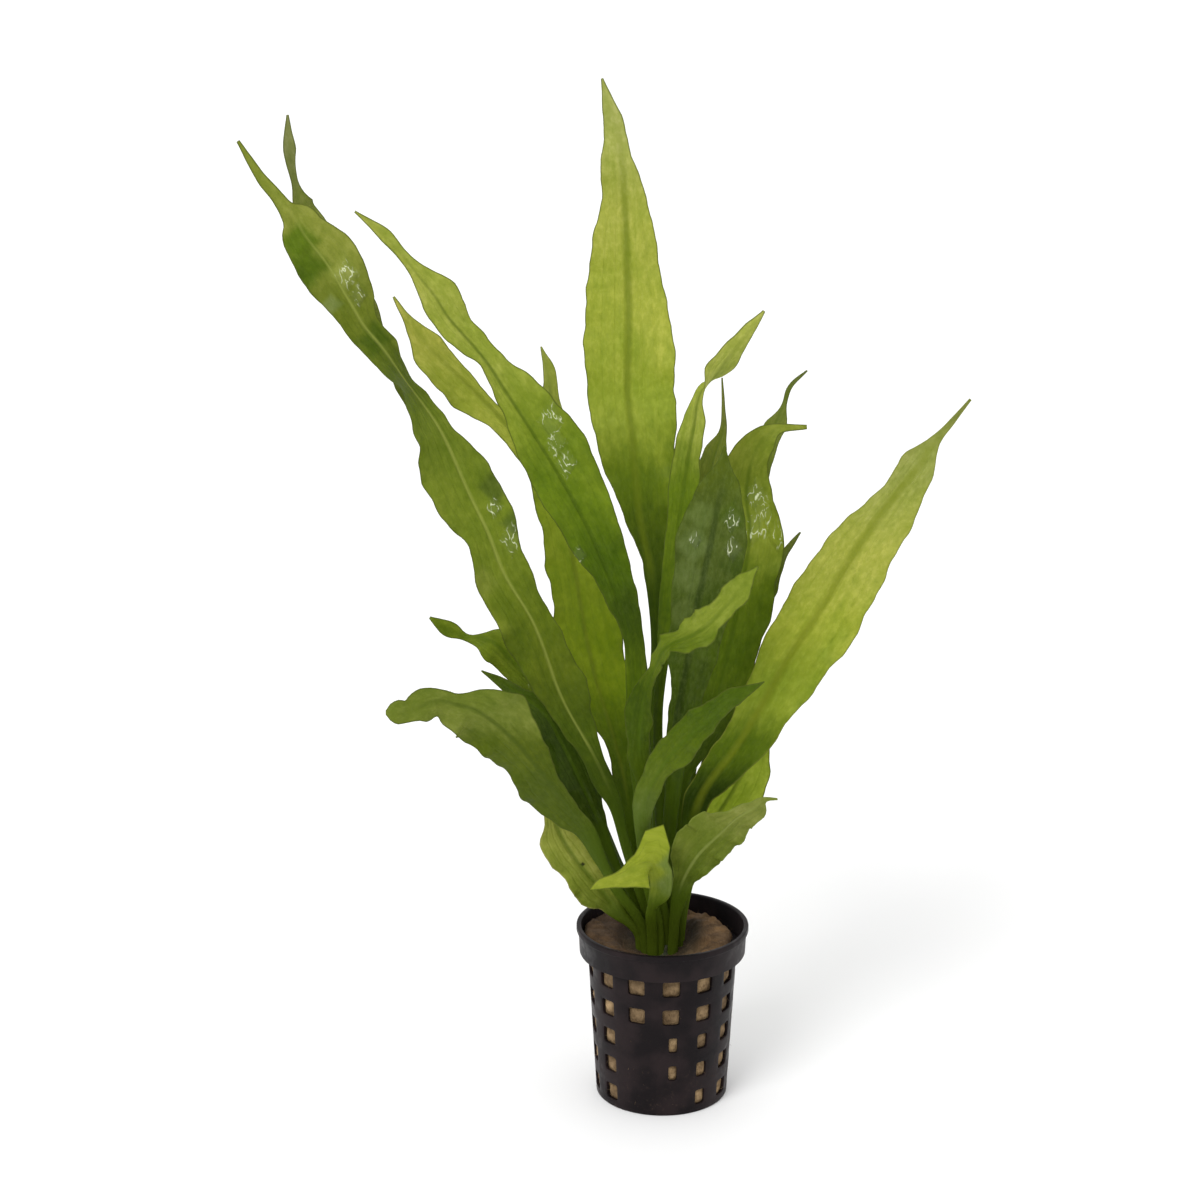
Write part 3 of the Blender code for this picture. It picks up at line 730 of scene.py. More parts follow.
def skin_faces(count, cols):
    """The faces of a front and a back sheet of count by cols points, which share their margins."""
    inner = cols - 2
    faces = []

    def back_index(i, j):
        if j == 0 or j == cols - 1:
            return i * cols + j
        return count * cols + i * inner + j - 1

    for i in range(count - 1):
        for j in range(cols - 1):
            faces.append((i * cols + j, i * cols + j + 1, (i + 1) * cols + j + 1, (i + 1) * cols + j))
            corners = ((i, j), (i + 1, j), (i + 1, j + 1), (i, j + 1))
            faces.append(tuple(back_index(*corner) for corner in corners))
    for i, flip in ((0, False), (count - 1, True)):
        for j in range(cols - 1):
            corners = (i * cols + j, back_index(i, j), back_index(i, j + 1), i * cols + j + 1)
            cap = tuple(dict.fromkeys(corners))
            faces.append(cap[::-1] if flip else cap)
    return faces


def leaf_mesh(name, stations, fold, seed, wave, wave_length, ragged, curls):
    """A leaf's closed skin: a front and a back sheet that meet at the margins."""
    rows, places = leaf_rows(stations)
    count = len(rows)
    total = places[-1]
    across, out = leaf_frames(rows)
    width = rows[:, 3] + rows[:, 4]
    blade = soft_step(width, 5.0, 9.0)
    blade[places > total * 0.75] = 1.0
    blade = np.maximum(blade, soft_step(places / total, 0.55, 0.75))
    rng = np.random.default_rng(seed)
    phase = rng.uniform(0, 2 * math.pi, (2, 5))
    near_tip = (total - places) / total
    x = np.zeros((count, len(shares)))
    rise = np.zeros_like(x)
    half = np.zeros_like(x)
    for sign, column in ((-1, 3), (1, 4)):
        chosen = shares * sign >= 0
        s = np.abs(shares[chosen])[None, :]
        p = phase[0 if sign < 0 else 1]
        turns = places * 2 * math.pi
        uneven = 0.3 * np.sin(turns / 19 + p[2]) + 0.12 * np.sin(turns / 8.3 + p[3])
        uneven = uneven + 0.04 * np.sin(turns / 3.7 + p[4])
        margin = rows[:, column] + ragged * blade * np.minimum(1, width / 8) * uneven
        reach = np.maximum(least_half_width, margin)[:, None]
        away = s * reach
        lift = fold * (np.sqrt(away ** 2 + 1.4 ** 2) - 1.4)
        swell = wave * np.minimum(1.0, reach / 9.0) * s ** 2.4
        ripple = np.sin(turns / wave_length + p[0]) + 0.45 * np.sin(turns / (wave_length * 0.43) + p[1])
        lift = lift + blade[:, None] * swell * ripple[:, None]
        for curl_side, start, end, from_share, degrees in curls:
            if curl_side != sign:
                continue
            along = places / total
            fade = 0.25 * (end - start)
            amount = soft_step(along, start, start + fade) * (1 - soft_step(along, end - fade, end))
            angle = np.radians(degrees) * amount[:, None] + 1e-4
            beyond = np.maximum(0, s - from_share) / (1 - from_share)
            radius = reach * (1 - from_share) / angle
            base = np.minimum(s, from_share) * reach
            away = np.where(s > from_share, base + radius * np.sin(angle * beyond), away)
            lift = np.where(s > from_share, lift + radius * (1 - np.cos(angle * beyond)), lift)
        x[:, chosen] = away * sign
        rise[:, chosen] = lift
        half[:, chosen] = reach + 0 * s
    round_share = np.sqrt(np.maximum(0, 1 - shares ** 2))[None, :]
    flat_share = (0.3 + 0.7 * (1 - np.abs(shares) ** 3)) * np.minimum(1.0, (1 - np.abs(shares)) / 0.03)
    blade_column = blade[:, None]
    thick = (1 - blade_column) * round_share * np.minimum(1.0, width[:, None] / 2.4)
    thick = thick + blade_column * 0.22 * flat_share[None, :]
    thick *= np.minimum(1.0, 0.25 + near_tip / 0.08)[:, None]
    rib = np.exp(-(x / 0.8) ** 2) * blade_column * soft_step(near_tip, 0.0, 0.5)[:, None]
    front_rib, back_rib = (0.5, 0.18) if fold < 0 else (-0.18, -0.5)
    front = rise + thick + rib * front_rib
    back = rise - thick + rib * back_rib
    middle = rows[:, None, :3]
    flat = middle + across[:, None, :] * x[:, :, None]
    sheets = [flat + out[:, None, :] * lift[:, :, None] for lift in (front, back)]
    cols = len(shares)
    inner = cols - 2
    vertices = np.concatenate([sheets[0].reshape(-1, 3), sheets[1][:, 1:-1].reshape(-1, 3)]) * MM
    mesh = bpy.data.meshes.new(name)
    mesh.from_pydata(vertices.tolist(), [], skin_faces(count, cols))
    shape = (count, cols)
    share_grid = np.broadcast_to(shares[None, :], shape)
    place_grid = np.broadcast_to(places[:, None], shape)
    fields = {
        "share": share_grid,
        "along": place_grid / total,
        "half": half * MM,
        "blade": np.broadcast_to(blade_column, shape),
        "flat": np.stack([share_grid * half * MM, place_grid * MM, np.full(shape, seed * 0.37)], axis=2),
    }
    for label, field in fields.items():
        kind, key = ("FLOAT_VECTOR", "vector") if field.ndim == 3 else ("FLOAT", "value")
        both = [field.reshape(count * cols, -1), field[:, 1:-1].reshape(count * inner, -1)]
        layer = mesh.attributes.new(label, kind, "POINT")
        layer.data.foreach_set(key, np.concatenate(both).astype(np.float32).ravel())
    layer = mesh.attributes.new("front", "FLOAT", "POINT")
    layer.data.foreach_set("value", np.repeat([1.0, 0.0], [count * cols, count * inner]).astype(np.float32))
    mesh.shade_smooth()
    mesh.validate()
    return mesh


glow = 0.3


def leaf_finish(name, seed, tones_and_shade, rib, rib_width, rib_strength, coat, rough, margin, patches_and_painted_light, wet_and_glints, sheen_specks):
    """The skin of one leaf. Its colour goes from tone to tone up the leaf, each at a height, and the dark
    tones low down are painted shade.
    """
    finish = Finish(name, Coat_Roughness=0.06, Specular_IOR_Level=0.08)
    share = finish.attribute("share")
    along = finish.attribute("along")
    half = finish.attribute("half")
    blade = finish.attribute("blade")
    front = finish.attribute("front")
    across, distance, _ = finish.parts(finish.attribute("flat", "Vector"))
    place = finish.place()
    x, _, height = finish.parts(place)
    to_margin = (1.0 - abs(share)) * half
    streak = finish.noise(finish.vector(across * 700.0, distance * 26.0, seed * 1.7), 1.0, 4.0, 0.6)
    cloud = finish.noise(place, 36.0, 2.0)
    blotch = finish.noise(finish.vector(across * 150.0, distance * 55.0, seed * 1.3), 1.0, 4.0, 0.62)
    mottle = finish.noise(finish.vector(across * 520.0, distance * 330.0, seed * 0.9), 1.0, 5.0, 0.68)
    sheen_speck = finish.noise(finish.vector(across * 1000.0, distance * 420.0, seed * 4.1), 1.0, 4.0, 0.7)
    veins = 0.0
    for level in (0.3, 0.6):
        veins = (abs(abs(share) - level) * half / 0.0005).ease(1.0, 0.0) + veins
    veins = veins * blade * along.ease(0.98, 0.85)
    waver = (streak - 0.5) * (1.4 * MM)
    midrib = (abs(across + waver) / rib_width).ease(1.0, 0.1) * blade * along.ease(1.0, 0.8)
    # The tones are the leaf's colour up its length, and partly painted shade: they grow darker low down,
    # where the crowded foot of the plant is shaded.
    skin = tones_and_shade[0][1]
    for (low, _), (high, tone) in zip(tones_and_shade, tones_and_shade[1:]):
        level = height + (blotch - 0.5) * 0.02
        skin = finish.mix(level.ease(low * MM, high * MM), skin, tone)
    # Patches of another tone: some are the leaf's own spots, others are painted light and shade, lighter
    # where part of the blade turns to the light and darker where it turns away.
    for at_x, at_z, radius, tone in patches_and_painted_light:
        gap = abs(x - at_x * MM) + abs(height - at_z * MM) + (blotch - 0.5) * (radius * 0.8 * MM)
        skin = finish.mix((gap / (radius * MM)).ease(1.0, 0.35), skin, tone)
    shades = (
        (1.0 - front, (0.98, 0.98, 1.25)),
        (cloud.ease(0.4, 0.6) * 0.5, (0.76, 0.84, 0.5)),
        (blotch.ease(0.5, 0.3) * 0.5, (0.74, 0.82, 0.55)),
        (blotch.ease(0.5, 0.7) * 0.5, (1.28, 1.2, 1.5)),
        (mottle.ease(0.46, 0.64) * 0.75, (1.26, 1.2, 1.6)),
        (mottle.ease(0.46, 0.3) * 0.6, (0.74, 0.8, 0.6)),
        (streak.ease(0.46, 0.66) * 0.3 * blade, (0.8, 0.86, 0.7)),
        (veins * 0.08, (0.72, 0.8, 0.55)),
    )
    for strength, shade in shades:
        skin = finish.mix(strength, skin, (*shade, 1), "MULTIPLY")
    skin = finish.mix(midrib * rib_strength, skin, rib)
    skin = finish.mix((to_margin / (0.55 * MM)).ease(1.0, 0.2) * blade * 0.8, skin, margin)
    # Painted sheen: pale grey-green specks over the blade.
    skin = finish.mix(sheen_speck.ease(0.42, 0.68) * sheen_specks * blade, skin, tint(136, 152, 84))
    skin = finish.mix(streak.ease(0.42, 0.6) * (1.0 - blade) * 0.6, skin, (0.6, 0.68, 0.45, 1), "MULTIPLY")
    skin = finish.mix((1.0 - blade) * height.ease(0.13, 0.08) * 0.7, skin, tint(78, 100, 16))
    skin = finish.mix(height.ease(0.075, 0.055) * 0.5, skin, tint(70, 80, 20))
    relief = streak * 0.3 + mottle * 0.5 + blotch * 0.8 - veins * 0.2 - midrib * 0.4
    roughness = mottle * 0.18 + (rough - 0.09) + (1.0 - front) * 0.1
    # Wet spots get a clear coat and painted glints: thin near-white strokes painted into the colour where the
    # water would catch the light.
    wet_and_glint_mask = 0.0
    for at_x, at_z, radius in wet_and_glints:
        gap = abs(x - at_x * MM) + abs(height - at_z * MM) * 0.7
        wet_and_glint_mask = (gap / (radius * MM)).ease(1.0, 0.45) + wet_and_glint_mask
    if wet_and_glints:
        glint_lines = finish.noise(finish.vector(across * 620.0, distance * 260.0, seed * 3.1), 1.0, 1.0, 0.5)
        painted_glint = (abs(glint_lines - 0.5) / 0.05).ease(1.0, 0.1) * mottle.ease(0.44, 0.56)
        wet_and_glint_mask = wet_and_glint_mask.math("MINIMUM", 1.0)
        skin = finish.mix(painted_glint * wet_and_glint_mask * 0.95, skin, tint(224, 230, 196))
        relief = relief + wet_and_glint_mask * 0.8
        finish.set(Coat_Weight=wet_and_glint_mask * 0.5 + coat)
    else:
        finish.set(Coat_Weight=coat)
    finish.set(Base_Color=skin, Roughness=roughness)
    finish.bump(relief, 0.0005)
    lit = finish.mix(1.0, skin, (1.45, 1.42, 1.0, 1), "MULTIPLY")
    through = finish.node("ShaderNodeBsdfTranslucent", {}, {"Color": lit})
    shaders = {0: glow, 1: finish.shader.outputs[0], 2: through.outputs[0]}
    both = finish.node("ShaderNodeMixShader", {}, shaders)
    finish.feed(finish.tree.nodes["Material Output"].inputs["Surface"], both.outputs[0])
    return finish.material


leaf_tone_share = 1.16
leaf_numbers = itertools.count(1)
stalk_start_height, stalk_start_half_width = 53.4, 1


def leaf_tint(colour):
    """The leaf's colour where the picture shows this one, its shade painted in: the light is a little
    stronger than even.
    """
    return (*[part * leaf_tone_share for part in tint(*colour)[:3]], 1.0)


def leaf(name, fold, roll, foot, stations, tones_and_shade, rib=(70, 92, 8), rib_width=1.1, rib_strength=0.6,
         coat=0.0, rough=0.45, margin=(74, 84, 26), wave=0.9, wave_length=21.0, ragged=1.0, curls=(),
         patches_and_painted_light=(), wet_and_glints=(), sheen_specks=0.06):
    """Makes one leaf and puts it in place of its solid, all in millimetres and degrees.

    Its foot is (x, y) above the crown, and each station up from there is (x, y, z, left, right), with
    a roll of its own where that isn't the leaf's. Each tone is a height and a screen colour; the dark
    tones low down are painted shade. Patches are spots of another tone, some of them painted light
    and shade, and the wet spots get painted glints.
    """
    seed = next(leaf_numbers)
    start = (*foot, stalk_start_height, stalk_start_half_width, stalk_start_half_width)
    stations = [(*station, roll)[:6] for station in (start, *stations)]
    mesh = leaf_mesh(name, stations, fold, seed, wave, wave_length, ragged, curls)
    tones_and_shade = [(height, leaf_tint(colour)) for height, colour in tones_and_shade]
    patches_and_painted_light = [(*where, leaf_tint(colour)) for *where, colour in patches_and_painted_light]
    material = leaf_finish(name, seed, tones_and_shade, leaf_tint(rib), rib_width * MM, rib_strength, coat, rough,
                           leaf_tint(margin), patches_and_painted_light, wet_and_glints, sheen_specks)
    made = piece(name.replace("_leaf", "") + "_sword_leaf", mesh, material)
    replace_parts(made, name)


leaf("tall_centre_leaf", 0.12, 10, (-2.0, 1.2), (
    (-1.5, 5, 109, 2.2, 1.6), (-2.5, 7.5, 131, 2.3, 1.6), (-2.5, 9, 143, 1.4, 2.5), (-3.5, 11, 159, 1.4, 4),
    (-4.5, 12.5, 170, 2.2, 6), (-7, 14, 182, 4, 9.5), (-9, 17, 200, 9.5, 12.5), (-10, 19, 211, 11.5, 14.3),
    (-11, 21, 219, 12, 14.7), (-11, 24, 236, 13.5, 14.3), (-11, 28, 252, 12.6, 11),
    (-11.5, 30, 264, 11, 9.4), (-12, 32, 276, 7.8, 7.6), (-13, 33, 290, 6.2, 3.8), (-15, 34, 303, 3.8, 2),
    (-19, 34, 315, 0.4, 0.4)),
    tones_and_shade=((150, (60, 78, 6)), (170, (66, 84, 8)), (192, (92, 110, 15)), (216, (136, 148, 46)),
        (240, (148, 155, 56)), (268, (150, 155, 64)), (305, (162, 164, 96))),
    rib=(98, 112, 18), rib_width=1.9, rib_strength=0.7, wave=0.7)
leaf("long_left_leaf", 0.15, -15, (-3.3, -2.2), (
    (-8.3, -3, 72, 1.2, 1.2), (-12, -4, 85.5, 1.6, 1.5), (-15.2, -5, 99, 2.6, 2.2),
    (-17.7, -5.7, 105, 3.8, 2.6), (-22, -7, 115, 3.8, 3.2), (-31, -9, 133, 6, 8.6), (-40, -11, 159, 11, 6),
    (-49, -12, 175, 9, 8), (-53, -12.5, 186.5, 7.5, 9), (-58, -13, 198, 11.5, 9.7),
    (-67, -14, 219, 11.5, 4, -35), (-76.5, -15, 233, 9.5, 4.5, -65), (-83, -16, 243, 5.5, 5, -30),
    (-88, -16.5, 249.5, 6.5, 5, -22), (-91.5, -17, 256, 6.5, 7.5), (-98, -18, 268, 9.5, 9.5, -10),
    (-104.5, -18.5, 277, 6.5, 7, -10), (-106.5, -18.5, 280.5, 5, 6, -10), (-109, -19, 283.5, 2.6, 2.6, -10),
    (-111.5, -19.2, 287, 1.9, 1.9, -10), (-116, -19.5, 293, 1.6, 1.5, -10),
    (-122, -20, 303, 0.5, 0.5, -10)),
    tones_and_shade=((105, (60, 76, 8)), (125, (69, 86, 8)), (150, (88, 102, 16)), (195, (108, 122, 32)),
        (222, (104, 118, 32)), (238, (84, 98, 22)), (254, (98, 110, 28)), (282, (124, 132, 50))),
    rib=(146, 154, 72), rib_width=0.8, rib_strength=0.6,
    wet_and_glints=((-91, 267, 4), (-88, 261, 3), (-50.5, 197, 3), (-45.5, 187, 4.5)),
    # Its patches are partly its own mottling and partly painted light and shade: lighter strips and darker
    # patches where the twisted blade and its halves face toward or away from the light.
    patches_and_painted_light=((-92, 268, 7, (124, 134, 52)), (-104, 277, 8, (86, 107, 18)), (-101.5, 270, 9, (78, 99, 14)),
        (-95.5, 259, 4, (112, 124, 62)), (-84, 248, 7, (74, 92, 16)), (-79.5, 254, 3.5, (116, 128, 44)),
        (-76.5, 247, 3.5, (120, 130, 48)), (-54, 174, 8, (114, 124, 42)), (-52, 161, 9, (114, 124, 38)),
        (-50, 203, 7, (84, 98, 30)), (-45, 192, 6, (82, 98, 30))))
leaf("long_left_rear_leaf", 0.15, -40, (-5.6, 3.6), (
    (-15, 10, 75, 1, 1), (-24, 14, 97, 1.5, 1.5), (-38, 16, 133, 2.5, 2.5), (-54, 14, 175, 4, 4),
    (-69, 9, 210, 5, 5), (-81, 3, 234, 4, 2.5), (-95, -3, 263, 7, 5.5, -35),
    (-102.5, -4.5, 276.5, 4.5, 4.5, -35), (-106.8, -5.5, 282.5, 2, 4.2, -35),
    (-107.5, -6, 288, 1.3, 1.6, -35), (-109, -8, 299, 1.9, 2.1, -35), (-109, -8, 309, 0.4, 0.4, -35)),
    tones_and_shade=((120, (70, 86, 16)), (220, (96, 108, 34)), (280, (126, 132, 64)), (300, (126, 130, 78))))
leaf("left_front_leaf", 0.15, -15, (-1.1, -1.8), (
    (-7, -3, 99, 2.2, 2.4), (-8.5, -3.5, 118.5, 3, 3.4), (-9, -4, 131.5, 3, 3.6), (-9.5, -4, 140, 2.6, 4),
    (-10.5, -4.5, 149.5, 1.9, 4.5), (-14, -5, 163, 3.5, 6), (-25, -7, 190, 8.5, 10),
    (-36, -8, 210, 8.5, 12.4), (-47, -9, 228, 4, 8.5), (-54, -10, 239, 3, 5, -30),
    (-59, -10.5, 245, 5, 5, -25), (-64, -11, 251, 5.5, 7, -20), (-67.5, -11.5, 257, 5, 6.5, -20),
    (-72, -12, 263, 2.5, 4, -20), (-77, -12, 269.5, 1.7, 1.8, -20), (-82, -12, 275, 1.6, 2.2, -20),
    (-90, -13, 282, 0.4, 0.4, -20)),
    tones_and_shade=((118, (70, 88, 12)), (138, (88, 107, 14)), (160, (58, 76, 6)), (176, (73, 95, 5)),
        (198, (94, 115, 16)), (225, (118, 133, 36)), (240, (140, 150, 56)), (275, (148, 155, 65))),
    rib=(62, 84, 6), rib_width=0.9,
    wet_and_glints=((-34, 221, 5), (-32.5, 214, 4), (-29.5, 208, 4), (-26, 180, 3)))
leaf("left_pale_leaf", 0.12, -25, (-4.2, 0.8), (
    (-9.5, 4, 79.5, 1.7, 1.7), (-11, 5.5, 92, 2.8, 3.4), (-12.5, 6.5, 103.5, 3.8, 5),
    (-15, 7.5, 114, 3.4, 8), (-17.2, 8.5, 121.5, 6.2, 9.5), (-19.5, 9.5, 128.5, 7.5, 11),
    (-23, 11, 143, 9.5, 11), (-29, 15, 175, 9.2, 9), (-36, 17, 195, 6, 6.5), (-44, 18.5, 207, 4, 4.5),
    (-52, 20, 216, 6, 2.7), (-62, 21, 226, 9, 3.5), (-71, 21, 235, 6.5, 5), (-77.5, 21.5, 244.5, 2.3, 1.2),
    (-82, 22, 251, 0.4, 0.4)),
    tones_and_shade=((105, (76, 96, 10)), (134, (116, 134, 20)), (178, (128, 142, 34)), (205, (142, 151, 52)),
        (240, (154, 156, 66))),
    rib=(104, 116, 26), rib_width=1.1)
leaf("centre_right_leaf", 0.15, 30, (0.4, 0.6), (
    (-1, 0.5, 97, 1.8, 1.8), (-1.5, 1, 129.5, 1.6, 1.6), (-0.5, 1.5, 144, 1.8, 2.5), (1, 2, 158, 3, 3),
    (4, 3, 183, 4, 4), (7, 4, 206, 5, 5), (8.5, 4, 214.5, 4.5, 4.3, 40), (10.5, 4, 225, 3.2, 3.2, 60),
    (15, 4, 231, 5.5, 5.5, 120), (20, 4, 238, 4, 4, 140), (29, 4, 250, 0.5, 0.5, 150)),
    tones_and_shade=((130, (64, 82, 8)), (160, (84, 104, 12)), (195, (93, 113, 15)), (216, (140, 150, 58)),
        (240, (166, 170, 74))))
leaf("dark_glossy_leaf", 0.15, 10, (2.4, -1.2), (
    (2, -2.5, 88.5, 2.2, 2.2), (3, -3.5, 105.5, 2.4, 3), (4, -4, 125, 3, 5), (5, -5, 131.5, 3, 6.5),
    (7, -6.5, 144, 6, 8), (10, -8, 164, 8, 10.5), (13, -10, 181, 10, 11), (15, -11, 192, 9, 9.5),
    (16.5, -12, 202, 5.5, 5), (17, -12.5, 208, 2, 1.8), (17, -13, 213, 0.3, 0.3)),
    tones_and_shade=((110, (64, 82, 10)), (140, (68, 86, 14)), (165, (66, 82, 20)), (190, (74, 88, 26)),
        (210, (76, 90, 14))),
    rib=(44, 60, 10), rib_width=1.5, rib_strength=0.8, coat=0.06, rough=0.4, margin=(70, 84, 20),
    # Its specks are a painted sheen; its patches paint the left half a lighter grey-green, a painted sheen,
    # and the right half darker, painted shade.
    sheen_specks=0.14,
    patches_and_painted_light=((10, 194, 7, (92, 106, 48)), (8, 184, 8, (94, 108, 54)), (6.5, 174, 9, (88, 102, 46)),
        (5.5, 162, 8, (82, 96, 38)), (21, 178, 8, (58, 76, 12)), (16, 150, 9, (76, 94, 14)),
        (19, 194, 7, (70, 88, 14))),
    wet_and_glints=((19, 193, 3.5), (19.5, 184, 3.5), (8.5, 186, 2.5)))
leaf("right_wide_leaf", 0.15, 15, (3.0, 1.2), (
    (5.5, 4, 90, 2.4, 2), (7.5, 5.5, 106, 3.2, 2.6), (11, 6, 116.5, 4, 7.5), (15.5, 7, 125, 5, 8.5),
    (18, 8, 135, 6.5, 9), (24, 10, 164, 8.5, 11), (26, 11, 182, 8.5, 10.5), (25, 12, 191, 8, 8.5),
    (27, 12, 204, 7, 5.5), (30, 12, 209.5, 4, 4.5), (33, 12, 212, 2, 2.5), (43, 12, 213, 0.8, 0.8)),
    tones_and_shade=((110, (62, 80, 8)), (140, (86, 106, 14)), (162, (92, 111, 18)), (178, (124, 136, 42)),
        (195, (112, 124, 36)), (212, (120, 130, 42))),
    wet_and_glints=((28.5, 189, 4.5), (31, 182, 5), (35, 177, 3.5), (27.5, 178.5, 4)),
    curls=((-1, 0.54, 0.74, 0.5, 120),))
leaf("long_right_leaf", 0.12, 15, (5.0, -1.7), (
    (7, -3, 78, 2, 2), (12, -4, 101, 5, 4.2), (22, -5, 116, 6, 8), (30, -5, 130.5, 7, 10),
    (37, -5, 144, 9, 12.4), (47, -4, 160, 10.6, 13.6), (53.5, -3, 171.5, 9.8, 12.6),
    (60, -2, 182, 8.3, 11.2), (70, 0, 196, 4.5, 8.5), (75.5, 0.5, 203, 6, 5.5), (80.5, 1, 211, 1.9, 1.9),
    (86, 2, 217.5, 0.9, 0.9), (91, 3, 223.5, 0.4, 0.4)),
    tones_and_shade=((98, (42, 60, 4)), (118, (81, 101, 11)), (136, (126, 141, 39)), (155, (145, 153, 51)),
        (178, (154, 157, 68)), (205, (142, 147, 76)), (220, (106, 112, 50))),
    rib=(112, 122, 24), rib_width=2.0, rib_strength=0.7, margin=(112, 118, 44), wave=0.8)


# LEAF TIPS AT THE BACK
# Narrower leaves behind the others, of which the front shows little more than a tip. They are
# darker because they stand in the others' shade.
leaf("back_left_leaf", 0.15, -50, (-1.2, 3.6), (
    (-4, 12, 98, 1.5, 1.5), (-8, 24, 142, 2.4, 2.4), (-19, 32, 172, 4.5, 4.5), (-28, 39, 196, 5, 5),
    (-35, 43, 215, 4, 4), (-36, 45, 224.5, 2.7, 2.7), (-38, 46, 231, 0.4, 0.4)),
    tones_and_shade=((140, (70, 88, 14)), (200, (128, 138, 46)), (215, (141, 150, 58)), (228, (155, 158, 84))))
leaf("back_needle_leaf", 0.15, 50, (0.9, 2.9), (
    (2, 12, 106, 1.2, 1.2), (8, 20, 150, 4, 4), (12, 26, 180, 6, 6), (16.5, 29, 202, 5, 5),
    (18.5, 30, 207.5, 1.8, 1.8), (18.5, 31, 215, 0.9, 0.9), (18, 32, 224, 0.4, 0.4)),
    tones_and_shade=((150, (70, 88, 14)), (195, (104, 116, 34)), (218, (112, 118, 52))),
    patches_and_painted_light=((17.5, 202, 1.4, (96, 66, 30)),))
leaf("back_right_leaf", 0.15, 45, (3.0, 3.6), (
    (9, 14, 99, 1.3, 1.3), (16, 22, 139, 3.5, 3.5), (25, 30, 173, 6, 6), (31, 36, 195, 6, 4),
    (35, 39, 207, 4, 5), (38, 41, 214, 1.1, 1.1), (39.5, 42, 218.5, 1.1, 1.1), (45, 43, 224, 0.4, 0.4)),
    tones_and_shade=((150, (70, 88, 14)), (200, (98, 110, 34)), (220, (92, 98, 48))))
leaf("back_right_low_leaf", 0.15, 45, (5.2, 2.9), (
    (11, 11, 92, 2.2, 2.2), (17, 15, 112, 3.5, 3.5), (23, 19, 130, 4, 4), (32, 25, 156, 4, 4),
    (39, 29, 170, 1.5, 1.5), (43, 31, 175, 0.4, 0.4)),
    tones_and_shade=((100, (72, 90, 14)), (150, (92, 106, 30)), (172, (104, 112, 46))))


# SHORT OUTER LEAVES
# Young and old short leaves round the foot. They curl, droop and twist more than the tall ones,
# and some show the dull grey-green of their undersides.
leaf("low_right_rear_leaf", 0.12, 20, (5.6, 0.6), (
    (9, 3, 72, 2, 2), (15, 5, 87, 5, 6.5), (22, 6, 99, 6.5, 10.5), (28, 8, 111, 5.5, 6),
    (32, 9, 123, 0.2, 0.2)),
    tones_and_shade=((70, (96, 118, 16)), (86, (158, 174, 54)), (118, (158, 172, 62))),
    wave=1.1, wave_length=15)
leaf("low_right_leaf", -0.12, -10, (3.3, -5.0), (
    (5, -8, 71, 2.5, 4), (7.2, -9.5, 77.3, 4.7, 5), (10.5, -11, 83.5, 8.8, 7.4),
    (16.7, -14, 91.3, 8.8, 6.6), (22.5, -17, 98.4, 3.8, 6), (27.3, -19, 102.2, 2.1, 3.8),
    (30.5, -20, 105, 0.8, 0.8), (34, -21, 105.5, 0.4, 0.4)),
    tones_and_shade=((64, (57, 72, 15)), (78, (92, 106, 30)), (92, (102, 114, 38)), (104, (116, 124, 54))),
    rib=(134, 144, 74), rib_width=0.6, rib_strength=0.6, margin=(112, 124, 52), wave=1.1, wave_length=11,
    ragged=1.8)
leaf("curled_centre_leaf", -0.12, 0, (-1.1, -5.0), (
    (-5.5, -9, 77, 1.5, 1.5), (-6.5, -11, 89, 2.1, 2.1), (-6, -13, 102, 3.5, 3.5),
    (-1, -15, 113, 5, 3.5, 10), (6, -18, 123, 6, 5.5, 15), (13, -21, 131, 5, 3, 15),
    (19, -24, 138, 3, 3, 15), (29, -28, 145, 0.2, 0.2, 15)),
    tones_and_shade=((80, (74, 92, 18)), (98, (96, 110, 50)), (112, (84, 100, 22)), (126, (76, 94, 8)),
        (142, (68, 88, 6))),
    wave=1.1, wave_length=13, ragged=1.5)
leaf("curled_right_leaf", 0.1, 0, (1.1, -3.4), (
    (-4, -6, 82, 1.3, 1.3), (-6, -8, 103, 1.8, 1.8), (-8, -10, 121, 4, 4), (-6, -12, 135, 4.5, 2.4, 20),
    (-3, -14, 145, 2.4, 2.4, 50), (1, -16, 152.5, 5.2, 4.7, 50), (7, -17, 155.5, 5.6, 5, 35),
    (12, -18, 159, 5.4, 4.6, 25), (16.5, -18.5, 164, 5, 4.2, 20), (21, -19, 169.5, 4.2, 3.4, 20),
    (27, -19.5, 178, 0.5, 0.5, 20)),
    tones_and_shade=((100, (74, 90, 8)), (125, (66, 84, 6)), (142, (62, 80, 5)), (154, (94, 110, 22)),
        (168, (114, 128, 38))),
    wave=1.4, wave_length=7, ragged=2.8)
leaf("curly_left_leaf", 0.12, -20, (-6.6, 1.4), (
    (-15, 4, 70, 1, 1), (-23, 6, 90, 1.3, 1.3), (-30, 7, 112, 3, 3), (-38, 8, 130, 5, 5),
    (-46, 9, 139, 5.5, 5), (-53, 9, 146, 6, 4.5), (-56.5, 9.5, 147, 3.5, 1.7, -25),
    (-60.5, 10, 147, 1.6, 1.6, -40), (-66, 10, 149.5, 2.8, 2.5), (-72, 10, 153.5, 0.4, 0.4)),
    tones_and_shade=((100, (66, 84, 10)), (125, (80, 96, 14)), (145, (98, 113, 22)), (152, (112, 126, 32))),
    wave=0.9, wave_length=16, ragged=1.4,
    wet_and_glints=((-40, 132, 4),))
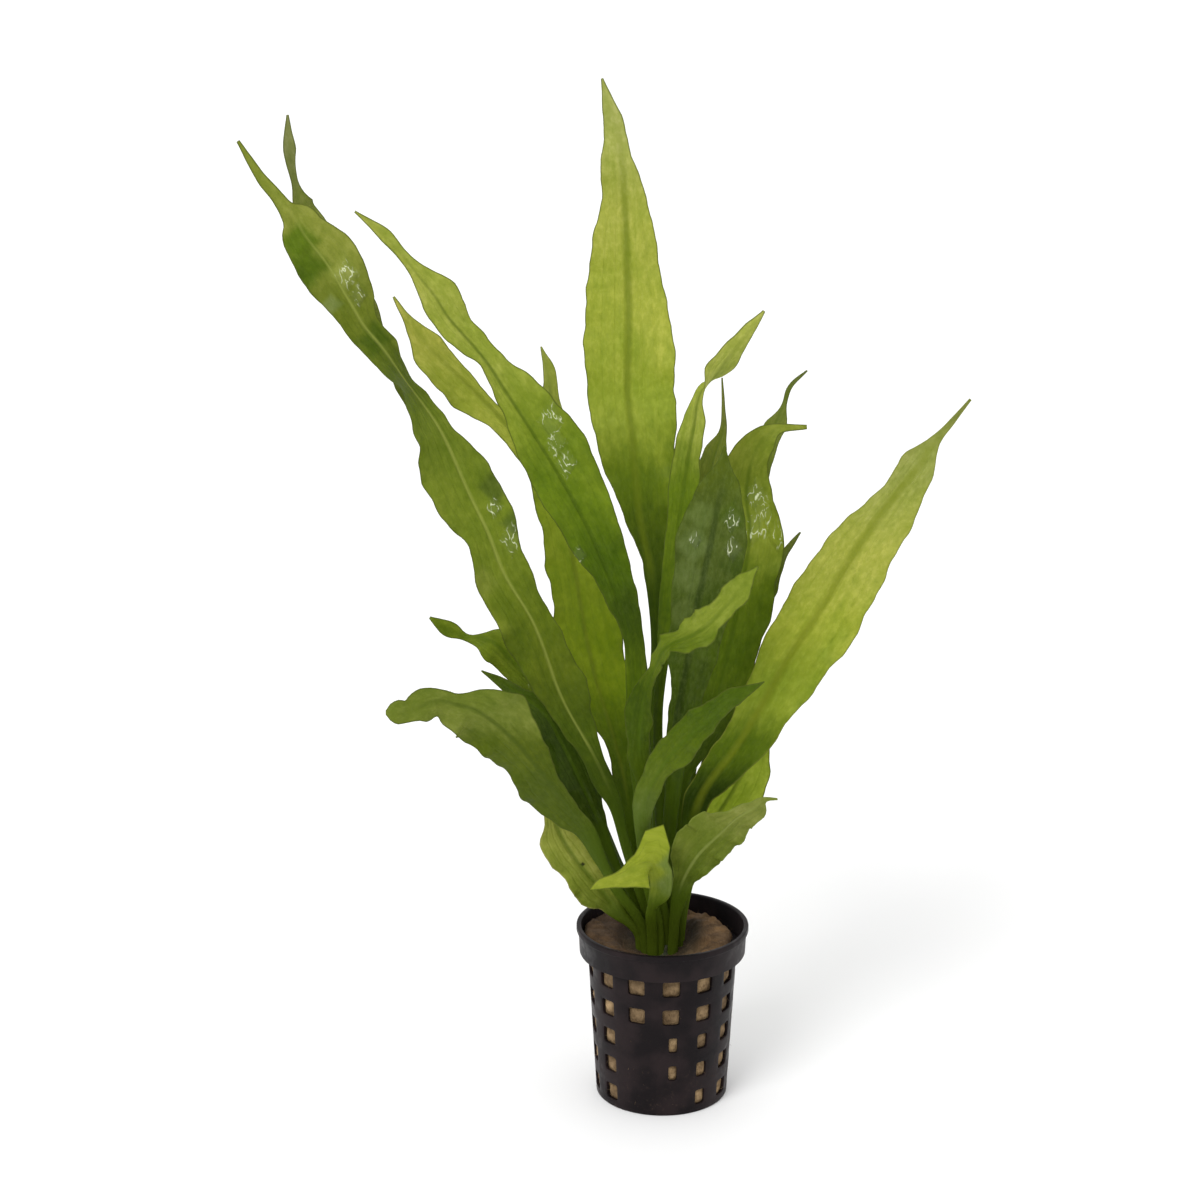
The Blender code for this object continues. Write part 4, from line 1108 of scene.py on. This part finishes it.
leaf("drooping_left_leaf", -0.12, 15, (-5.5, -4.2), (
    (-16, -9, 74, 1.3, 1.3), (-19.5, -10.5, 82.5, 2.5, 1.9), (-23, -12, 91, 4, 2.5),
    (-32, -15, 105, 10.5, 2.5), (-39.5, -18, 116, 9.3, 5.5), (-47, -21, 126, 10.8, 9.5),
    (-52, -22.5, 131, 11, 11.5), (-57, -24, 135, 10.3, 7.4, 10), (-62.5, -25, 137, 8, 3, 7),
    (-67, -26, 138.5, 5, 3.2, 5), (-73, -28, 137.5, 5, 5, 5), (-76.5, -29, 136, 3.5, 3.5, 5),
    (-80, -30, 136, 3.5, 3.5, 5), (-82, -30, 136, 2.1, 2.1, 5), (-83, -30, 136, 0.6, 0.6, 5)),
    tones_and_shade=((80, (72, 86, 20)), (105, (76, 90, 18)), (128, (82, 96, 15)), (138, (106, 117, 42))),
    rib=(70, 86, 18), rib_strength=0.7, rough=0.5)
# Its tones are painted dark: the leaf stands in the shade of the drooping leaf in front.
leaf("shaded_left_leaf", 0.15, -20, (-5.4, -1.0), (
    (-14, 0, 74, 2.5, 1.5), (-20, 1, 90, 5, 2.4), (-26, 1, 104, 8.5, 7.5), (-32, 2, 116, 10, 10),
    (-37, 2, 125, 6.5, 8), (-43, 2.5, 130, 2.9, 2.9), (-50.5, 3, 135, 1.6, 1.6), (-56, 3, 138.5, 0.3, 0.3)),
    tones_and_shade=((80, (50, 66, 5)), (112, (52, 70, 5)), (138, (68, 86, 12))),
    coat=0.1)
leaf("low_left_leaf", 0.12, -10, (-7.2, -2.8), (
    (-14, -4, 62, 2.8, 2.5), (-20, -4, 70, 7, 6), (-23, -4.5, 74, 7.3, 6.5), (-26, -5, 78, 7.3, 7.5),
    (-31, -5, 86, 7, 7), (-36, -6, 101, 0.2, 0.2)),
    tones_and_shade=((60, (92, 104, 28)), (70, (116, 126, 42)), (84, (142, 146, 66))),
    margin=(142, 140, 78), wave=1.0, wave_length=10, ragged=2.2,
    patches_and_painted_light=((-25, 78.5, 1.3, (46, 44, 22)), (-24, 61.5, 1.2, (214, 212, 190))))
leaf("small_front_leaf", 0.1, 0, (-3.3, -6.2), (
    (-3.8, -11, 66, 1.2, 1.6), (-3, -14, 72, 1.6, 5), (-2.8, -15.5, 77, 1.8, 5.6),
    (-3, -16.5, 80.4, 2.4, 5.6), (-3.4, -17.2, 82.2, 5, 5.4), (-4.6, -18, 83.2, 6.5, 13),
    (-6.4, -18.8, 83.2, 7.4, 6), (-9.5, -20, 82.2, 6.4, 3.4), (-12.5, -21, 81, 4.4, 2.2),
    (-16, -22, 80, 2.8, 1.6), (-19.5, -23, 79, 1.9, 1.4), (-22.5, -24, 77.4, 0.4, 0.4)),
    tones_and_shade=((62, (84, 100, 20)), (72, (112, 126, 44)), (82, (134, 144, 42)), (92, (138, 148, 42))),
    wave=0.15, wave_length=11, ragged=0.8, rib=(118, 132, 36), rib_strength=0.4,
    patches_and_painted_light=((2, 77, 8, (112, 126, 60)), (2, 85, 6, (114, 128, 58))))


# FLOOR, LIGHT AND CAMERA
# A plain pale floor, a soft white surround, one large soft light from the upper left in front, and
# the camera where the photograph was taken from.
camera_place, camera_pitch = (-0.0196, -0.8253, 0.403), 16.28


def stage():
    ground = bmesh.new()
    bmesh.ops.create_grid(ground, x_segments=1, y_segments=1, size=9.0)
    mesh = bpy.data.meshes.new("floor")
    ground.to_mesh(mesh)
    ground.free()
    finish = Finish("floor", Roughness=0.7)
    finish.set(Base_Color=(0.9, 0.9, 0.9, 1))
    floor = bpy.data.objects.new("floor", mesh)
    mesh.materials.append(finish.material)
    bpy.context.scene.collection.objects.link(floor)


def soft_sun(name, towards, softness, strength):
    data = bpy.data.lights.new(name, "SUN")
    data.angle = math.radians(softness)
    data.energy = strength
    light = bpy.data.objects.new(name, data)
    light.rotation_euler = Vector(towards).to_track_quat("-Z", "Y").to_euler()
    bpy.context.scene.collection.objects.link(light)


def surround():
    world = bpy.data.worlds.new("studio")
    world.use_nodes = True
    background = world.node_tree.nodes["Background"]
    background.inputs["Color"].default_value = (1.0, 1.0, 1.0, 1.0)
    background.inputs["Strength"].default_value = 1.0
    bpy.context.scene.world = world


def camera():
    data = bpy.data.cameras.new("camera")
    data.lens = 85.0
    data.sensor_width = 36.0
    data.clip_start = 0.01
    view_camera = bpy.data.objects.new("camera", data)
    view_camera.location = camera_place
    view_camera.rotation_euler = (math.radians(90 - camera_pitch), 0, 0)
    bpy.context.scene.collection.objects.link(view_camera)
    bpy.context.scene.camera = view_camera


stage()
surround()
soft_sun("key", (0.5, 0.75, -0.85), 28.0, 1.5)
camera()
bpy.context.scene.view_settings.view_transform = "Standard"
